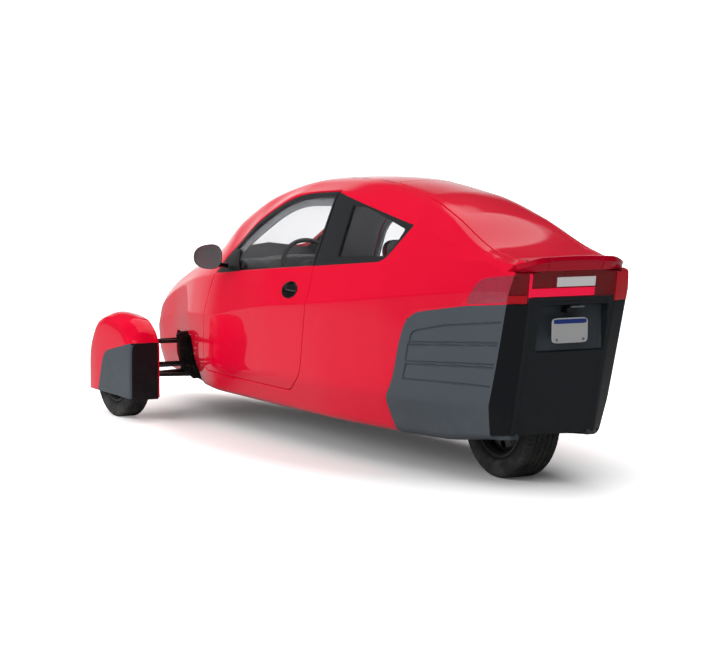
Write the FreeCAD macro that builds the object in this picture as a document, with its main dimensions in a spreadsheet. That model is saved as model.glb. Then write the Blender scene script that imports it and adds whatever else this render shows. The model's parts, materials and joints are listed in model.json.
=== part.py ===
"""Three-wheeled car: two front wheels on outriggers under fairings, one rear
wheel on a swingarm, two seats in line, one door on the left, a lid at the tail.

Row frame: +X forward, +Y left, +Z up, millimetres, origin on the ground under
the middle of the overall box. Lengths along the body are given from the rear
axle, and those of the front end from the front axle.
"""
import math
import os

import FreeCAD
import Part
import Sketcher
from FreeCAD import Placement, Rotation, Vector

doc = FreeCAD.newDocument("three_wheeled_car")

# ---------------------------------------------------------------- sizes
# alias, value in mm (degrees where named so)
SIZES = (
    ("rear_axle_x", -1508.5),       # overall box: 530 behind the rear axle, 753 past the front one
    ("wheelbase", 2794),
    ("half_track", 755),
    ("roof_z", 1377),
    ("cowl_z", 955),
    ("hatch_foot_z", 998),
    ("tail_overhang", 530),
    ("nose_overhang", 753),
    ("nose_seam", 470),             # where the nose panel starts, before the front axle
    ("bulkhead_x", 480),            # the cabin's back wall, from the rear axle
    ("wall", 30),                   # body panel with its inner skin
    ("glass", 6),
    ("liner_gap", 0.5),             # between the inner skin and what is built into it
    ("lid_gap", 9),                 # round the door and the lids
    ("running", 0.05),              # radial clearance of every shaft and pin
    ("seat_gap", 0.3),
    ("passing", 6),                  # between pieces that pass each other
    ("floor_z", 212),               # top of the floor pan
    ("front_tyre_radius", 275),
    ("front_tyre_width", 115),
    ("front_rim_radius", 190),
    ("rear_tyre_radius", 300),
    ("rear_tyre_width", 175),
    ("rear_rim_radius", 205),
    ("rim_wall", 14),
    ("tyre_round", 22),
    ("axle_radius", 15),
    ("hub_radius", 48),
    ("front_hub_radius", 34),
    ("kingpin_offset", 83),         # from the wheel's middle inboard to the steering axis
    ("kingpin_radius", 8),
    ("upright_half", 18),
    ("arm_thick", 18),
    ("lower_arm_z", 216),
    ("upper_arm_z", 400),
    ("arm_root_y", 270),
    ("rack_back", 110),             # the rack's line behind the front axle
    ("rack_z", 297),
    ("rack_radius", 12),
    ("fairing_half_out", 93.5),     # from the wheel's middle to the fairing's outer face
    ("fairing_half_in", 90),
    ("fairing_wall", 28),
    ("fairing_well", 12),           # radial room round the tyre
    ("fairing_foot_z", 125),
    ("flap_thick", 6),
    ("engine_back", 60),
    ("engine_length", 440),
    ("engine_half", 215),
    ("engine_height", 390),
    ("seat_half", 215),
    ("wheel_grip_radius", 165),     # steering wheel's rim
    ("steering_x", 2000),
    ("steering_z", 850),
    ("plate_half", 97),
    ("plate_height", 114),
    ("plate_z", 673),
    ("handle_radius", 39),
    ("handle_reach", 38),
    ("handle_x", 1252),
    ("handle_z", 806),
    ("hinge_pin", 8),
    ("hinge_eye", 14),
    ("deck_room", 40),              # over the rear tyre
    ("column_radius", 22),
    ("column_pin_radius", 10),
    ("tow_radius", 8),
    ("swing_in", 106),              # half the room between the swingarm's legs
)
sheet = doc.addObject("Spreadsheet::Sheet", "Sizes")
for row, (alias, value) in enumerate(SIZES, 1):
    sheet.set("A%d" % row, alias)
    sheet.set("B%d" % row, str(value))
    sheet.setAlias("B%d" % row, alias)
doc.recompute()


def size(alias):
    """A size's value from the sheet."""
    return float(sheet.get(alias))


REAR = size("rear_axle_x")
FRONT = REAR + size("wheelbase")
TRACK = size("half_track")
TAIL = size("tail_overhang")
WALL = size("wall")
GAP = size("lid_gap")
AXLE = "rear_axle_x + wheelbase"
TAIL_END = "rear_axle_x - tail_overhang"

# ---------------------------------------------------------------- body sections
# Sections of the body, tail to nose. "at" is measured from the named axle or the tail's end. Each is
# half a section: half-widths and heights of the bottom edge, the lower ridge, the
# mid crease and the belt; then window top, cant rail and centre, with heights given
# below the named level.
SECTIONS = (
    # axle, at, bottom y z, ridge y z, crease y z, belt y z, level, top y drop, cant y drop, centre drop
    ("tail", 0, 268, 246, 292, 386, 314, 912, 307, 985, "roof_z", 297, 331, 225, 316, 313),
    ("rear", -250, 300, 222, 335, 387, 345, 896, 325, 1036, "roof_z", 305, 318, 272, 302, 282),
    ("rear", 130, 340, 182, 420, 387, 420, 860, 380, 1010, "roof_z", 335, 250, 245, 158, 132),
    ("rear", 450, 400, 180, 475, 382, 485, 822, 430, 986, "roof_z", 347, 172, 210, 72, 50),
    ("rear", 1050, 458, 180, 525, 374, 541, 752, 480, 930, "roof_z", 352, 80, 180, 12, 0),
    ("rear", 1450, 460, 180, 530, 364, 545, 712, 487, 895, "roof_z", 360, 118, 215, 45, 24),
    ("rear", 1860, 460, 180, 523, 353, 525, 656, 472, 857, "roof_z", 380, 279, 285, 140, 100),
    ("rear", 2170, 460, 180, 511, 345, 505, 608, 455, 822, "roof_z", 412, 478, 300, 250, 205),
    ("front", -214, 386, 180, 432, 331, 445, 575, 405, 775, "cowl_z", 350, 105, 250, 30, 0),
    ("front", 206, 290, 185, 335, 320, 345, 540, 325, 690, "cowl_z", 290, 205, 215, 155, 125),
    ("front", 556, 235, 200, 268, 310, 280, 470, 262, 570, "cowl_z", 235, 340, 180, 300, 275),
    ("front", 696, 190, 215, 215, 300, 225, 410, 212, 480, "cowl_z", 190, 435, 145, 407, 393),
    ("front", 753, 150, 245, 165, 300, 170, 370, 160, 415, "cowl_z", 140, 515, 105, 500, 493),
)


# Where the sections' distances are measured from
DATUM = {"tail": REAR - TAIL, "rear": REAR, "front": FRONT}


def inset(points, depth):
    """A closed outline moved inwards by depth, edge by edge (points run anticlockwise)."""
    moved = []
    for here in range(len(points)):
        before = points[here - 1]
        point = points[here]
        after = points[(here + 1) % len(points)]
        first = Vector(point[0] - before[0], point[1] - before[1], 0).normalize()
        second = Vector(after[0] - point[0], after[1] - point[1], 0).normalize()
        normal_one = Vector(-first.y, first.x, 0)
        normal_two = Vector(-second.y, second.x, 0)
        share = depth / (1 + normal_one.dot(normal_two))
        move = (normal_one + normal_two) * share
        moved.append((point[0] + move.x, point[1] + move.y))
    return moved


def section_wire(row, depth):
    """One section of the body as a closed wire, inset by depth."""
    axle, at, y_foot, z_foot, y_ridge, z_ridge, y_crease, z_crease, y_belt, z_belt = row[:10]
    level, y_top, drop_top, y_cant, drop_cant, drop_centre = row[10:]
    x_here = DATUM[axle] + at
    high = size(level)
    left = [(y_foot, z_foot), (y_ridge, z_ridge), (y_crease, z_crease), (y_belt, z_belt),
            (y_top, high - drop_top), (y_cant, high - drop_cant)]
    right = [(-y_here, z_here) for y_here, z_here in reversed(left)]
    outline = inset(left + [(0, high - drop_centre)] + right, depth)
    return Part.makePolygon([Vector(x_here, y_here, z_here) for y_here, z_here in outline + outline[:1]])


def body_loft(depth):
    """The body's whole form, its skin moved inwards by depth."""
    return Part.makeLoft([section_wire(row, depth) for row in SECTIONS], True, True)


# The tail's profile, from the lip's tip down to the foot of the rear panel; x from the tail's end
TAIL_LINE = ((0, 1200), (0, 1045), (27, 1000), (42, 878), (178, 251), (188, 120))
# The bevel between side and rear panel: side corner and panel edge, at two heights
BEVEL = ((150, (260, 291), (200, 224)), (1000, (43, 326), (14, 232)))
BEHIND = -370


def tail_cutter(shift):
    """All that lies behind the tail's profile, with its two bevels, moved forward by shift."""
    end = REAR - TAIL
    line = [Vector(end + x_here + shift, -600, z_here) for x_here, z_here in TAIL_LINE]
    low = Vector(end + BEHIND, -600, TAIL_LINE[-1][1])
    high = Vector(end + BEHIND, -600, TAIL_LINE[0][1])
    solid = Part.Face(Part.makePolygon(line + [low, high, line[0]])).extrude(Vector(0, 1200, 0))
    for side in (1, -1):
        wires = []
        for z_here, corner, edge in BEVEL:
            ends = [Vector(end + x_here + shift * 0.6, side * (y_here - shift * 0.8), z_here)
                    for x_here, y_here in (corner, edge)]
            out = Vector(end + BEHIND, side * 700, z_here)
            wires.append(Part.makePolygon([ends[0], ends[1], out, ends[0]]))
        solid = solid.fuse(Part.makeLoft(wires, True, True))
    return solid


def feature(label, shape, placement=None):
    """A document object with a shape worked out from the sheet's sizes."""
    item = doc.addObject("Part::Feature", label)
    item.Label = label
    item.Shape = shape
    if placement is not None:
        item.Placement = placement
    return item


PLANES = {"XY": "XY_Plane", "XZ": "XZ_Plane", "YZ": "YZ_Plane"}


def pad(label, plane, points, low, high):
    """A prism: its outline in a sketch on a principal plane, padded from low to high.

    Points, low and high are numbers or expressions on the sheet's cells.
    """
    body = doc.addObject("PartDesign::Body", label)
    body.Label = label
    sketch = body.newObject("Sketcher::SketchObject", label + "_sketch")
    face = [item for item in body.Origin.OriginFeatures if item.Role == PLANES[plane]][0]
    sketch.AttachmentSupport = [(face, "")]
    sketch.MapMode = "FlatFace"
    rough = [[value_of(value) for value in point] for point in points]
    count = len(points)
    for here in range(count):
        start, end = rough[here], rough[(here + 1) % count]
        line = Part.LineSegment(Vector(start[0], start[1], 0), Vector(end[0], end[1], 0))
        sketch.addGeometry(line, False)
    for here in range(count):
        sketch.addConstraint(constraint("Coincident", here, 2, (here + 1) % count, 1))
    for here in range(count):
        for kind, value in zip(("DistanceX", "DistanceY"), points[here]):
            index = sketch.addConstraint(constraint(kind, -1, 1, here, 1, value_of(value)))
            if isinstance(value, str):
                sketch.setExpression("Constraints[%d]" % index, cells(value))
    start = "-(%s)" % high if plane == "XZ" else str(low)
    sketch.setExpression("AttachmentOffset.Base.z", cells(start))
    thick = body.newObject("PartDesign::Pad", label + "_pad")
    thick.Profile = sketch
    thick.setExpression("Length", cells("(%s) - (%s)" % (high, low)))
    return body


def constraint(*terms):
    """A sketch constraint."""
    return Sketcher.Constraint(*terms)


def cells(text):
    """An expression with the sheet's name put before each of its aliases."""
    text = str(text)
    words = sorted((alias for alias, value in SIZES), key=len, reverse=True)
    for number, word in enumerate(words):
        text = text.replace(word, "<%d>" % number)
    for number, word in enumerate(words):
        text = text.replace("<%d>" % number, "Sizes." + word)
    return text


def value_of(text):
    """The number that an expression of sums and products of the sheet's cells gives."""
    if not isinstance(text, str):
        return float(text)
    return float(sheet.evalExpression(cells(text)))


def box(label, low, high):
    """A block between two corners, given as numbers or expressions."""
    item = doc.addObject("Part::Box", label)
    item.Label = label
    for name, first, last in zip(("Length", "Width", "Height"), low, high):
        item.setExpression(name, cells("(%s) - (%s)" % (last, first)))
    for name, first in zip("xyz", low):
        item.setExpression("Placement.Base." + name, cells(first))
    return item


def rod(label, radius, start, length, along):
    """A cylinder from a start point along X, Y or Z."""
    item = doc.addObject("Part::Cylinder", label)
    item.Label = label
    item.setExpression("Radius", cells(radius))
    item.setExpression("Height", cells(length))
    turn = {"X": Rotation(Vector(0, 1, 0), 90), "Y": Rotation(Vector(1, 0, 0), -90), "Z": Rotation()}
    item.Placement = Placement(Vector(), turn[along])
    for name, place in zip("xyz", start):
        item.setExpression("Placement.Base." + name, cells(place))
    return item


def cut(label, base, *tools):
    """Base without the tools."""
    tool = tools[0] if len(tools) == 1 else fuse(label + "_tools", *tools)
    item = doc.addObject("Part::Cut", label)
    item.Label = label
    item.Base = base
    item.Tool = tool
    return item


def fuse(label, *parts):
    """All parts as one shape."""
    item = doc.addObject("Part::MultiFuse", label)
    item.Label = label
    item.Shapes = list(parts)
    return item


def common(label, base, tool):
    """What base and tool share."""
    item = doc.addObject("Part::Common", label)
    item.Label = label
    item.Base = base
    item.Tool = tool
    return item


def mirrored(label, source):
    """The same piece on the other side of the car."""
    item = doc.addObject("Part::Mirroring", label)
    item.Label = label
    item.Source = source
    item.Normal = Vector(0, 1, 0)
    return item


def along(points, low, high, label, name="rear_axle_x"):
    """A prism across the car from an outline in side view, x measured from an axle."""
    spots = [("%s + %s" % (name, x_here), z_here) for x_here, z_here in points]
    return pad(label, "XZ", spots, low, high)


def plan(points, low, high, label, name="rear_axle_x"):
    """An upright prism from an outline in plan, x measured from an axle."""
    spots = [("%s + %s" % (name, x_here), y_here) for x_here, y_here in points]
    return pad(label, "XY", spots, low, high)


def feature_group(label, parts):
    """Like pieces that don't touch, as one compound."""
    item = doc.addObject("Part::Compound", label)
    item.Label = label
    item.Links = list(parts)
    return item


NODES = []


def keep(item):
    """Marks an object as one of the car's pieces."""
    NODES.append(item)
    return item


# ---------------------------------------------------------------- shells
outer = feature("form_outer", body_loft(0).cut(tail_cutter(0)))
inner_shape = body_loft(WALL).cut(tail_cutter(WALL))
nose_stop = Part.makeBox(400, 1200, 1400, Vector(FRONT + size("nose_overhang") - WALL, -600, 0))
inner = feature("form_inner", inner_shape.cut(nose_stop))
liner = feature("form_liner", body_loft(WALL + size("liner_gap")).cut(tail_cutter(WALL + size("liner_gap"))))
glazing_inner = feature("form_glazing_inner", body_loft(size("glass")))
glazing = cut("form_glazing", outer, glazing_inner)
shell = cut("form_shell", outer, inner)

# ---------------------------------------------------------------- outlines
# Side view, x from the rear axle, anticlockwise about +Y seen from the left (x forward, z up)
DOOR = ((1120, 386), (1270, 288), (2330, 288), (2330, 640), (2280, 800), (2160, 905), (1860, 1108),
        (1450, 1272), (1050, 1312), (1070, 930), (1030, 790), (1070, 610))
WINDOW = ((1112, 965), (2085, 872), (1845, 1070), (1450, 1232), (1100, 1268))
QUARTER = ((470, 1002), (1025, 962), (1012, 1262), (345, 1162))
PAST = -30 - TAIL                   # a little beyond the tail's end
CLADDING = ((PAST, 100), (300, 100), (362, 405), (430, 490), (335, 722), (255, 765), (PAST, 858))
LAMPS = ((PAST, 880), (-110, 826), (-158, 880), (-255, 950), (-340, 972), (PAST, 990))
# Plan view, x from the rear axle
HATCH = ((800, -165), (800, 165), (420, 205), (0, 245), (-250, 255), (105 - TAIL, 222), (80 - TAIL, 145),
         (PAST, 145), (PAST, -145), (80 - TAIL, -145), (105 - TAIL, -222), (-250, -255), (0, -245),
         (420, -205))
SCREEN = ((1465, -190), (2200, -283), (2500, -243), (2560, -180), (2560, 180), (2500, 243), (2200, 283),
          (1465, 190))
# x from the front axle: the bonnet in plan, the suspension's opening and the headlamps in side view
BONNET = ((-134, -200), (446, -160), (446, 160), (-134, 200))
ARM_PORT = ((-354, 205), (246, 205), (196, 455), (-190, 455))
HEADLAMPS = ((611, 420), (676, 360), (716, 350), (716, 430), (700, 475), (626, 500))


def clear_of(points, more=0):
    """A lid's outline inside its opening, with the gap all round and a little more where it swings close."""
    turning = sum(points[i - 1][0] * points[i][1] - points[i][0] * points[i - 1][1]
                  for i in range(len(points)))
    return inset(points, GAP + more if turning > 0 else -GAP - more)


door_hole = along(DOOR, 150, 700, "cut_door")
door_form = along(clear_of(DOOR), 318, 700, "form_door")
window_left = along(WINDOW, 150, 700, "cut_window_left")
window_right = along(WINDOW, -700, -150, "cut_window_right")
quarter_cut = along(QUARTER, -700, 700, "cut_quarter")
OVER_ROOF = "roof_z + 123"
hatch_hole = plan(HATCH, "hatch_foot_z", OVER_ROOF, "cut_hatch")
hatch_form = plan(clear_of(HATCH), "hatch_foot_z + lid_gap", OVER_ROOF, "form_hatch")
screen_cut = plan(SCREEN, 860, OVER_ROOF, "cut_screen")
bonnet_hole = plan(BONNET, 500, OVER_ROOF, "cut_bonnet", AXLE)
bonnet_form = plan(clear_of(BONNET, 3), 500, OVER_ROOF, "form_bonnet", AXLE)
cladding_form = along(CLADDING, -600, 600, "form_cladding")
lamp_form = along(LAMPS, -600, 600, "form_lamps")
panel_zone = box("zone_rear_panel", (TAIL_END + " - 70", -226, 245), (TAIL_END + " + 208", 226, 880))
floor_zone = box("zone_floor", ("rear_axle_x + bulkhead_x", -520, 100),
                 (AXLE + " + nose_seam", 520, "floor_z"))
nose_zone = box("zone_nose", (AXLE + " + nose_seam", -400, 100), (AXLE + " + nose_overhang + 147", 400, 900))
under_tail = box("cut_under_tail", (TAIL_END + " - 70", -235, 100),
                 ("rear_axle_x + bulkhead_x", 235, "floor_z + 60"))
side_port = along(ARM_PORT, -600, 600, "cut_arm_port", AXLE)
lamp_zone = along(HEADLAMPS, -500, 500, "form_headlamps", AXLE)

# ---------------------------------------------------------------- body
rear_sides = common("part_tail", shell, cladding_form)
keep(cut("rear_claddings", rear_sides, panel_zone, under_tail, lamp_form))
recess = box("zone_recess", (TAIL_END + " - 70", -182, 638), (TAIL_END + " + 230", 182, 870))
recess_cut = common("cut_recess", recess, feature("form_recess", tail_cutter(WALL / 2)))
panel_base = common("part_rear_panel", shell, panel_zone)
keep(cut("rear_panel", panel_base, recess_cut))
lamp_band = common("part_lamps", shell, lamp_form)
keep(cut("tail_lamp_band", lamp_band, panel_zone, hatch_hole))
floor_slab = common("part_floor", outer, floor_zone)
tow_socket = rod("cut_tow", "tow_radius", (AXLE + " + 600", -134, 345), 200, "X")
keep(cut("nose_panel", common("part_nose", shell, nose_zone), bonnet_hole, lamp_zone, tow_socket))
keep(common("headlamps", shell, lamp_zone))
keep(cut("body_shell", shell, door_hole, window_right, quarter_cut, hatch_hole, screen_cut, bonnet_hole,
         cladding_form, lamp_form, panel_zone, floor_zone, nose_zone, under_tail, side_port, lamp_zone))
keep(common("windscreen", glazing, screen_cut))
keep(common("right_side_glass", glazing, window_right))
keep(common("quarter_glasses", glazing, quarter_cut))
door_whole = common("part_door_whole", shell, door_form)
handle_ends = [rod("handle_" + name, "handle_radius", ("rear_axle_x + handle_x" + shift, 400, "handle_z"), 300, "Y")
               for name, shift in (("rear", " - handle_reach"), ("front", " + handle_reach"))]
handle_middle = box("handle_middle", ("rear_axle_x + handle_x - handle_reach", 400, "handle_z - handle_radius"),
                    ("rear_axle_x + handle_x + handle_reach", 700, "handle_z + handle_radius"))
handle_plug = fuse("form_handle", *handle_ends, handle_middle)

# ---------------------------------------------------------------- hinges
def ribbon(path, width):
    """The outline of a bent strap of one width that follows a path."""
    sides = ([], [])
    for here, point in enumerate(path):
        before = path[max(here - 1, 0)]
        after = path[min(here + 1, len(path) - 1)]
        legs = [Vector(point[0] - before[0], point[1] - before[1], 0),
                Vector(after[0] - point[0], after[1] - point[1], 0)]
        legs = [leg.normalize() for leg in legs if leg.Length > 0]
        normal = Vector()
        for leg in legs:
            normal += Vector(-leg.y, leg.x, 0)
        normal.normalize()
        reach = width / 2 / normal.dot(Vector(-legs[0].y, legs[0].x, 0))
        for side, sign in zip(sides, (1, -1)):
            side.append((point[0] + sign * reach * normal.x, point[1] + sign * reach * normal.y))
    return sides[0] + sides[1][::-1]


# Goose-neck straps from the pin round the edge of the opening and up through the lid's inner skin
NECK = ((0, 0), (-30, -42), (-85, -42), (-95, 82))
DEEP_NECK = ((0, 0), (-72, -88), (-152, -88), (-162, 60))
half_skin = feature("form_half_skin", body_loft(WALL / 2))


def hinge_strap(label, plane, at, low, high, neck=NECK, forward=1):
    """A strap's bent blade and eye, ended half way through the skin; at is the pin's place."""
    path = [(forward * x_here, y_here) for x_here, y_here in neck]
    spots = [("%s + %.4f" % (at[0], x_here), "%s + %.4f" % (at[1], y_here))
             for x_here, y_here in ribbon(path, 10)]
    blade = pad(label + "_blade", plane, spots, low, high)
    if plane == "XY":
        eye = rod(label + "_eye", "hinge_eye", (at[0], at[1], low), "%s - (%s)" % (high, low), "Z")
    else:
        eye = rod(label + "_eye", "hinge_eye", (at[0], low, at[1]), "%s - (%s)" % (high, low), "Y")
    return common(label, fuse(label + "_whole", blade, eye), half_skin)


def edge_wedge(label, plane, at, low, high, top, foot):
    """What is bevelled off a lid's hinged edge, from the pin's place, so that its inner corner swings clear."""
    corners = ((-52, top), (foot, 0), (-36, 0), (-36, top))
    spots = [("%s + %d" % (at[0], x_here), "%s + %d" % (at[1], y_here)) for x_here, y_here in corners]
    return pad(label, plane, spots, low, high)


DOOR_PIN = ("rear_axle_x + 2375", "420")
HATCH_PIN = ("rear_axle_x + 845", "roof_z - 77")
BONNET_PIN = (AXLE + " - 236", "cowl_z - 87")
hinge_pins = []
door_straps = []
door_bores = []
for name, height in (("low", 412), ("high", 600)):
    door_straps.append(hinge_strap("door_strap_" + name, "XY", DOOR_PIN, height - 12, height + 12))
    door_bores.append(rod("cut_door_pin_" + name, "hinge_pin + running", DOOR_PIN + (height - 40,), 80, "Z"))
    pin = rod("door_pin_" + name, "hinge_pin", DOOR_PIN + (height - 28,), 56, "Z")
    ears = []
    for part_name, low in (("under", height - 28), ("over", height + 18)):
        ear = box("door_ear_%s_%s" % (name, part_name), (DOOR_PIN[0] + " - 14", DOOR_PIN[1] + " - 14", low),
                  (DOOR_PIN[0] + " + 14", 520, low + 10))
        ears.append(common("door_seat_%s_%s" % (name, part_name), liner, ear))
    hinge_pins.append(fuse("door_hinge_" + name, pin, *ears))
lid_straps = {"hatch": [], "bonnet": []}
lid_bores = {}
STRAP_SIDE = 120
for lid, pin_at, neck, forward in (("hatch", HATCH_PIN, NECK, 1), ("bonnet", BONNET_PIN, DEEP_NECK, -1)):
    lid_bores[lid] = rod("cut_%s_pin" % lid, "hinge_pin + running", (pin_at[0], -200, pin_at[1]), 400, "Y")
    for side, name in ((1, "left"), (-1, "right")):
        middle = side * STRAP_SIDE
        label = "%s_strap_%s" % (lid, name)
        lid_straps[lid].append(hinge_strap(label, "XZ", pin_at, middle - 12, middle + 12, neck, forward))
        pin = rod("%s_pin_%s" % (lid, name), "hinge_pin", (pin_at[0], middle - 28, pin_at[1]), 56, "Y")
        ears = []
        for part_name, low in (("inner", middle - 28), ("outer", middle + 18)):
            ear = box("%s_ear_%s_%s" % (lid, name, part_name), (pin_at[0] + " - 14", low, pin_at[1] + " - 14"),
                      (pin_at[0] + " + 14", low + 10, pin_at[1] + " + 90"))
            ears.append(common("%s_seat_%s_%s" % (lid, name, part_name), liner, ear))
        hinge_pins.append(fuse("%s_hinge_%s" % (lid, name), pin, *ears))
keep(feature_group("hinge_pins", hinge_pins))
door_wedge = edge_wedge("cut_door_edge", "XY", DOOR_PIN, 280, 790, 66, -108)
hatch_wedge = edge_wedge("cut_hatch_edge", "XZ", HATCH_PIN, -300, 300, 66, -98)
edge_zone = box("zone_bonnet_edge", (AXLE + " - 134", -300, "cowl_z - 255"),
                (AXLE + " - 92", 300, "cowl_z + 45"))
bonnet_edge = common("cut_bonnet_edge", feature("form_thin_edge", body_loft(8)), edge_zone)
door_skin = cut("part_door_skin", door_whole, window_left, handle_plug, door_wedge)
keep(cut("door_panel", fuse("part_door", door_skin, *door_straps), *door_bores))
keep(common("door_glass", glazing, window_left))
keep(common("door_handle", door_whole, handle_plug))
hatch_whole = cut("part_hatch_skin", common("part_hatch_whole", shell, hatch_form), hatch_wedge)
keep(cut("hatch_panel", fuse("part_hatch", hatch_whole, *lid_straps["hatch"]), lid_bores["hatch"]))
bonnet_whole = cut("part_bonnet_skin", common("part_bonnet_whole", shell, bonnet_form), bonnet_edge)
keep(cut("bonnet_panel", fuse("part_bonnet", bonnet_whole, *lid_straps["bonnet"]), lid_bores["bonnet"]))

# ---------------------------------------------------------------- mirrors, plate
skin_clear = feature("form_skin_clear", body_loft(-size("seat_gap")))
housing = box("mirror_housing", ("rear_axle_x + 2060", 505, 868), ("rear_axle_x + 2125", 640, 988))
mirror_arm = box("mirror_arm", ("rear_axle_x + 2098", 380, 868), ("rear_axle_x + 2122", 510, 884))
stalk = cut("mirror_stalk", mirror_arm,
            skin_clear)
keep(fuse("door_mirror", housing, stalk))
keep(mirrored("mirror_right", fuse("part_mirror", housing, stalk)))
plate = box("plate_sheet", (TAIL_END + " + 52", "-plate_half", "plate_z"),
            (TAIL_END + " + 56", "plate_half", "plate_z + plate_height"))
plate_block = box("plate_block", (TAIL_END + " + 56", -60, "plate_z + 8"),
                  (TAIL_END + " + 130", 60, "plate_z + plate_height - 8"))
recess_floor = feature("form_recess_floor", tail_cutter(WALL / 2 - size("seat_gap")))
carrier = common("plate_carrier", plate_block, recess_floor)
keep(fuse("number_plate", plate, carrier))

# ---------------------------------------------------------------- cabin
firewall = box("part_firewall", (AXLE + " - 294", -600, "floor_z"), (AXLE + " - 274", 600, "cowl_z + 245"))
DECK_Z = "2 * rear_tyre_radius + deck_room"
firewall_seated = common("firewall", liner, firewall)
bulkhead = box("part_bulkhead", ("rear_axle_x + bulkhead_x", -600, "floor_z"),
               ("rear_axle_x + bulkhead_x + 20", 600, 900))
deck = box("part_deck", (TAIL_END + " + 150", -600, DECK_Z),
           ("rear_axle_x + bulkhead_x", 600, DECK_Z + " + 15"))
rear_seated = common("rear_bulkhead", liner, fuse("part_rear_bulkhead", bulkhead, deck))
keep(feature_group("bulkheads", [firewall_seated, rear_seated]))
DASH_BACK = "wheelbase - 294"       # on the firewall
DASH = ((2060, 780), (2060, 855), (2110, 900), (2300, 895), (DASH_BACK, 880), (DASH_BACK, 660), (2300, 650),
        (2130, 700))
dash_form = common("part_dash", liner, along(DASH, -350, 350, "form_dash"))
COLUMN_TILT = 25
column_turn = Rotation(Vector(0, 1, 0), -(90 - COLUMN_TILT))


def on_column(item, back):
    """Places a piece on the steering column's axis, back from the steering wheel's centre."""
    rise = math.radians(COLUMN_TILT)
    item.Placement = Placement(Vector(), column_turn)
    forward = "rear_axle_x + steering_x + %.5f * (%s)" % (math.cos(rise), back)
    item.setExpression("Placement.Base.x", cells(forward))
    item.setExpression("Placement.Base.z", cells("steering_z - %.5f * (%s)" % (math.sin(rise), back)))
    return item


def turned(label, radius, length):
    """A cylinder whose place is set afterwards."""
    item = doc.addObject("Part::Cylinder", label)
    item.Label = label
    item.setExpression("Radius", cells(radius))
    item.setExpression("Height", cells(length))
    return item


tube = on_column(turned("column_tube", "column_radius", 170), "200")
column_pin = on_column(turned("column_pin", "column_pin_radius", 60), "40")
keep(fuse("steering_column", tube, column_pin))
keep(cut("dashboard", dash_form, on_column(turned("cut_column", "column_radius + seat_gap", 200), "210")))
grip = doc.addObject("Part::Torus", "wheel_grip")
grip.setExpression("Radius1", cells("wheel_grip_radius"))
grip.Radius2 = 13
on_column(grip, "0")
hub = on_column(turned("wheel_hub", 34, 50), "24")
wheel_plate = on_column(turned("wheel_plate", "wheel_grip_radius", 8), "4")
spoke_cut = []
for angle in (0, 90, 180, 270):
    cutter = doc.addObject("Part::Cylinder", "cut_spoke_%d" % angle)
    cutter.Radius = 58
    cutter.Height = 60
    spread = math.radians(angle + 45)
    shift = Vector(95 * math.cos(spread), 95 * math.sin(spread), -30)
    cutter.Placement = Placement(grip.Placement.Base, column_turn).multiply(Placement(shift, Rotation()))
    spoke_cut.append(cutter)
spider = cut("wheel_spider", wheel_plate, *spoke_cut)
keep(cut("steering_wheel", fuse("part_steering_wheel", grip, hub, spider),
         on_column(turned("cut_column_pin", "column_pin_radius + running", 90), "50")))
FRONT_SEAT = ((1120, "floor_z + seat_gap"), (1690, "floor_z + seat_gap"), (1690, 380), (1640, 430), (1330, 395),
              (1250, 450), (1085, 960), (1010, 990), (965, 955), (1110, 430))
REAR_SEAT = (("bulkhead_x + 20 + seat_gap", "floor_z + seat_gap"), ("bulkhead_x + 460", "floor_z + seat_gap"),
             ("bulkhead_x + 460", 380), ("bulkhead_x + 410", 425), ("bulkhead_x + 220", 395),
             ("bulkhead_x + 160", 450), ("bulkhead_x + 85", 895), ("bulkhead_x + 20 + seat_gap", 895))
keep(along(FRONT_SEAT, "-seat_half", "seat_half", "front_seat"))
keep(along(REAR_SEAT, "-seat_half", "seat_half", "rear_seat"))

# ---------------------------------------------------------------- front end
KINGPIN = "half_track - kingpin_offset"
WHEEL_Z = "front_tyre_radius"
cross = box("subframe_cross", (AXLE + " - 180", "-arm_root_y", "floor_z"),
            (AXLE + " + 180", "arm_root_y", "floor_z + 20"))
CHEEKS = (("left", "arm_root_y - 15", "arm_root_y"), ("right", "-arm_root_y", "15 - arm_root_y"))
cheeks = [box("subframe_cheek_" + name, (AXLE + " - 180", low, "floor_z"), (AXLE + " + 180", high, 560))
          for name, low, high in CHEEKS]
rack_bore = rod("cut_rack", "rack_radius + running", (AXLE + " - rack_back", -400, "rack_z"), 800, "Y")
shaft_hole = rod("cut_shaft", 40, (AXLE, -400, WHEEL_Z), 800, "Y")
keep(cut("front_subframe", fuse("part_subframe", cross, *cheeks), rack_bore, shaft_hole))
keep(box("engine_block", (AXLE + " - engine_back", "-engine_half", "floor_z + 20"),
         (AXLE + " + engine_length - engine_back", "engine_half", "floor_z + 20 + engine_height")))
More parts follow.
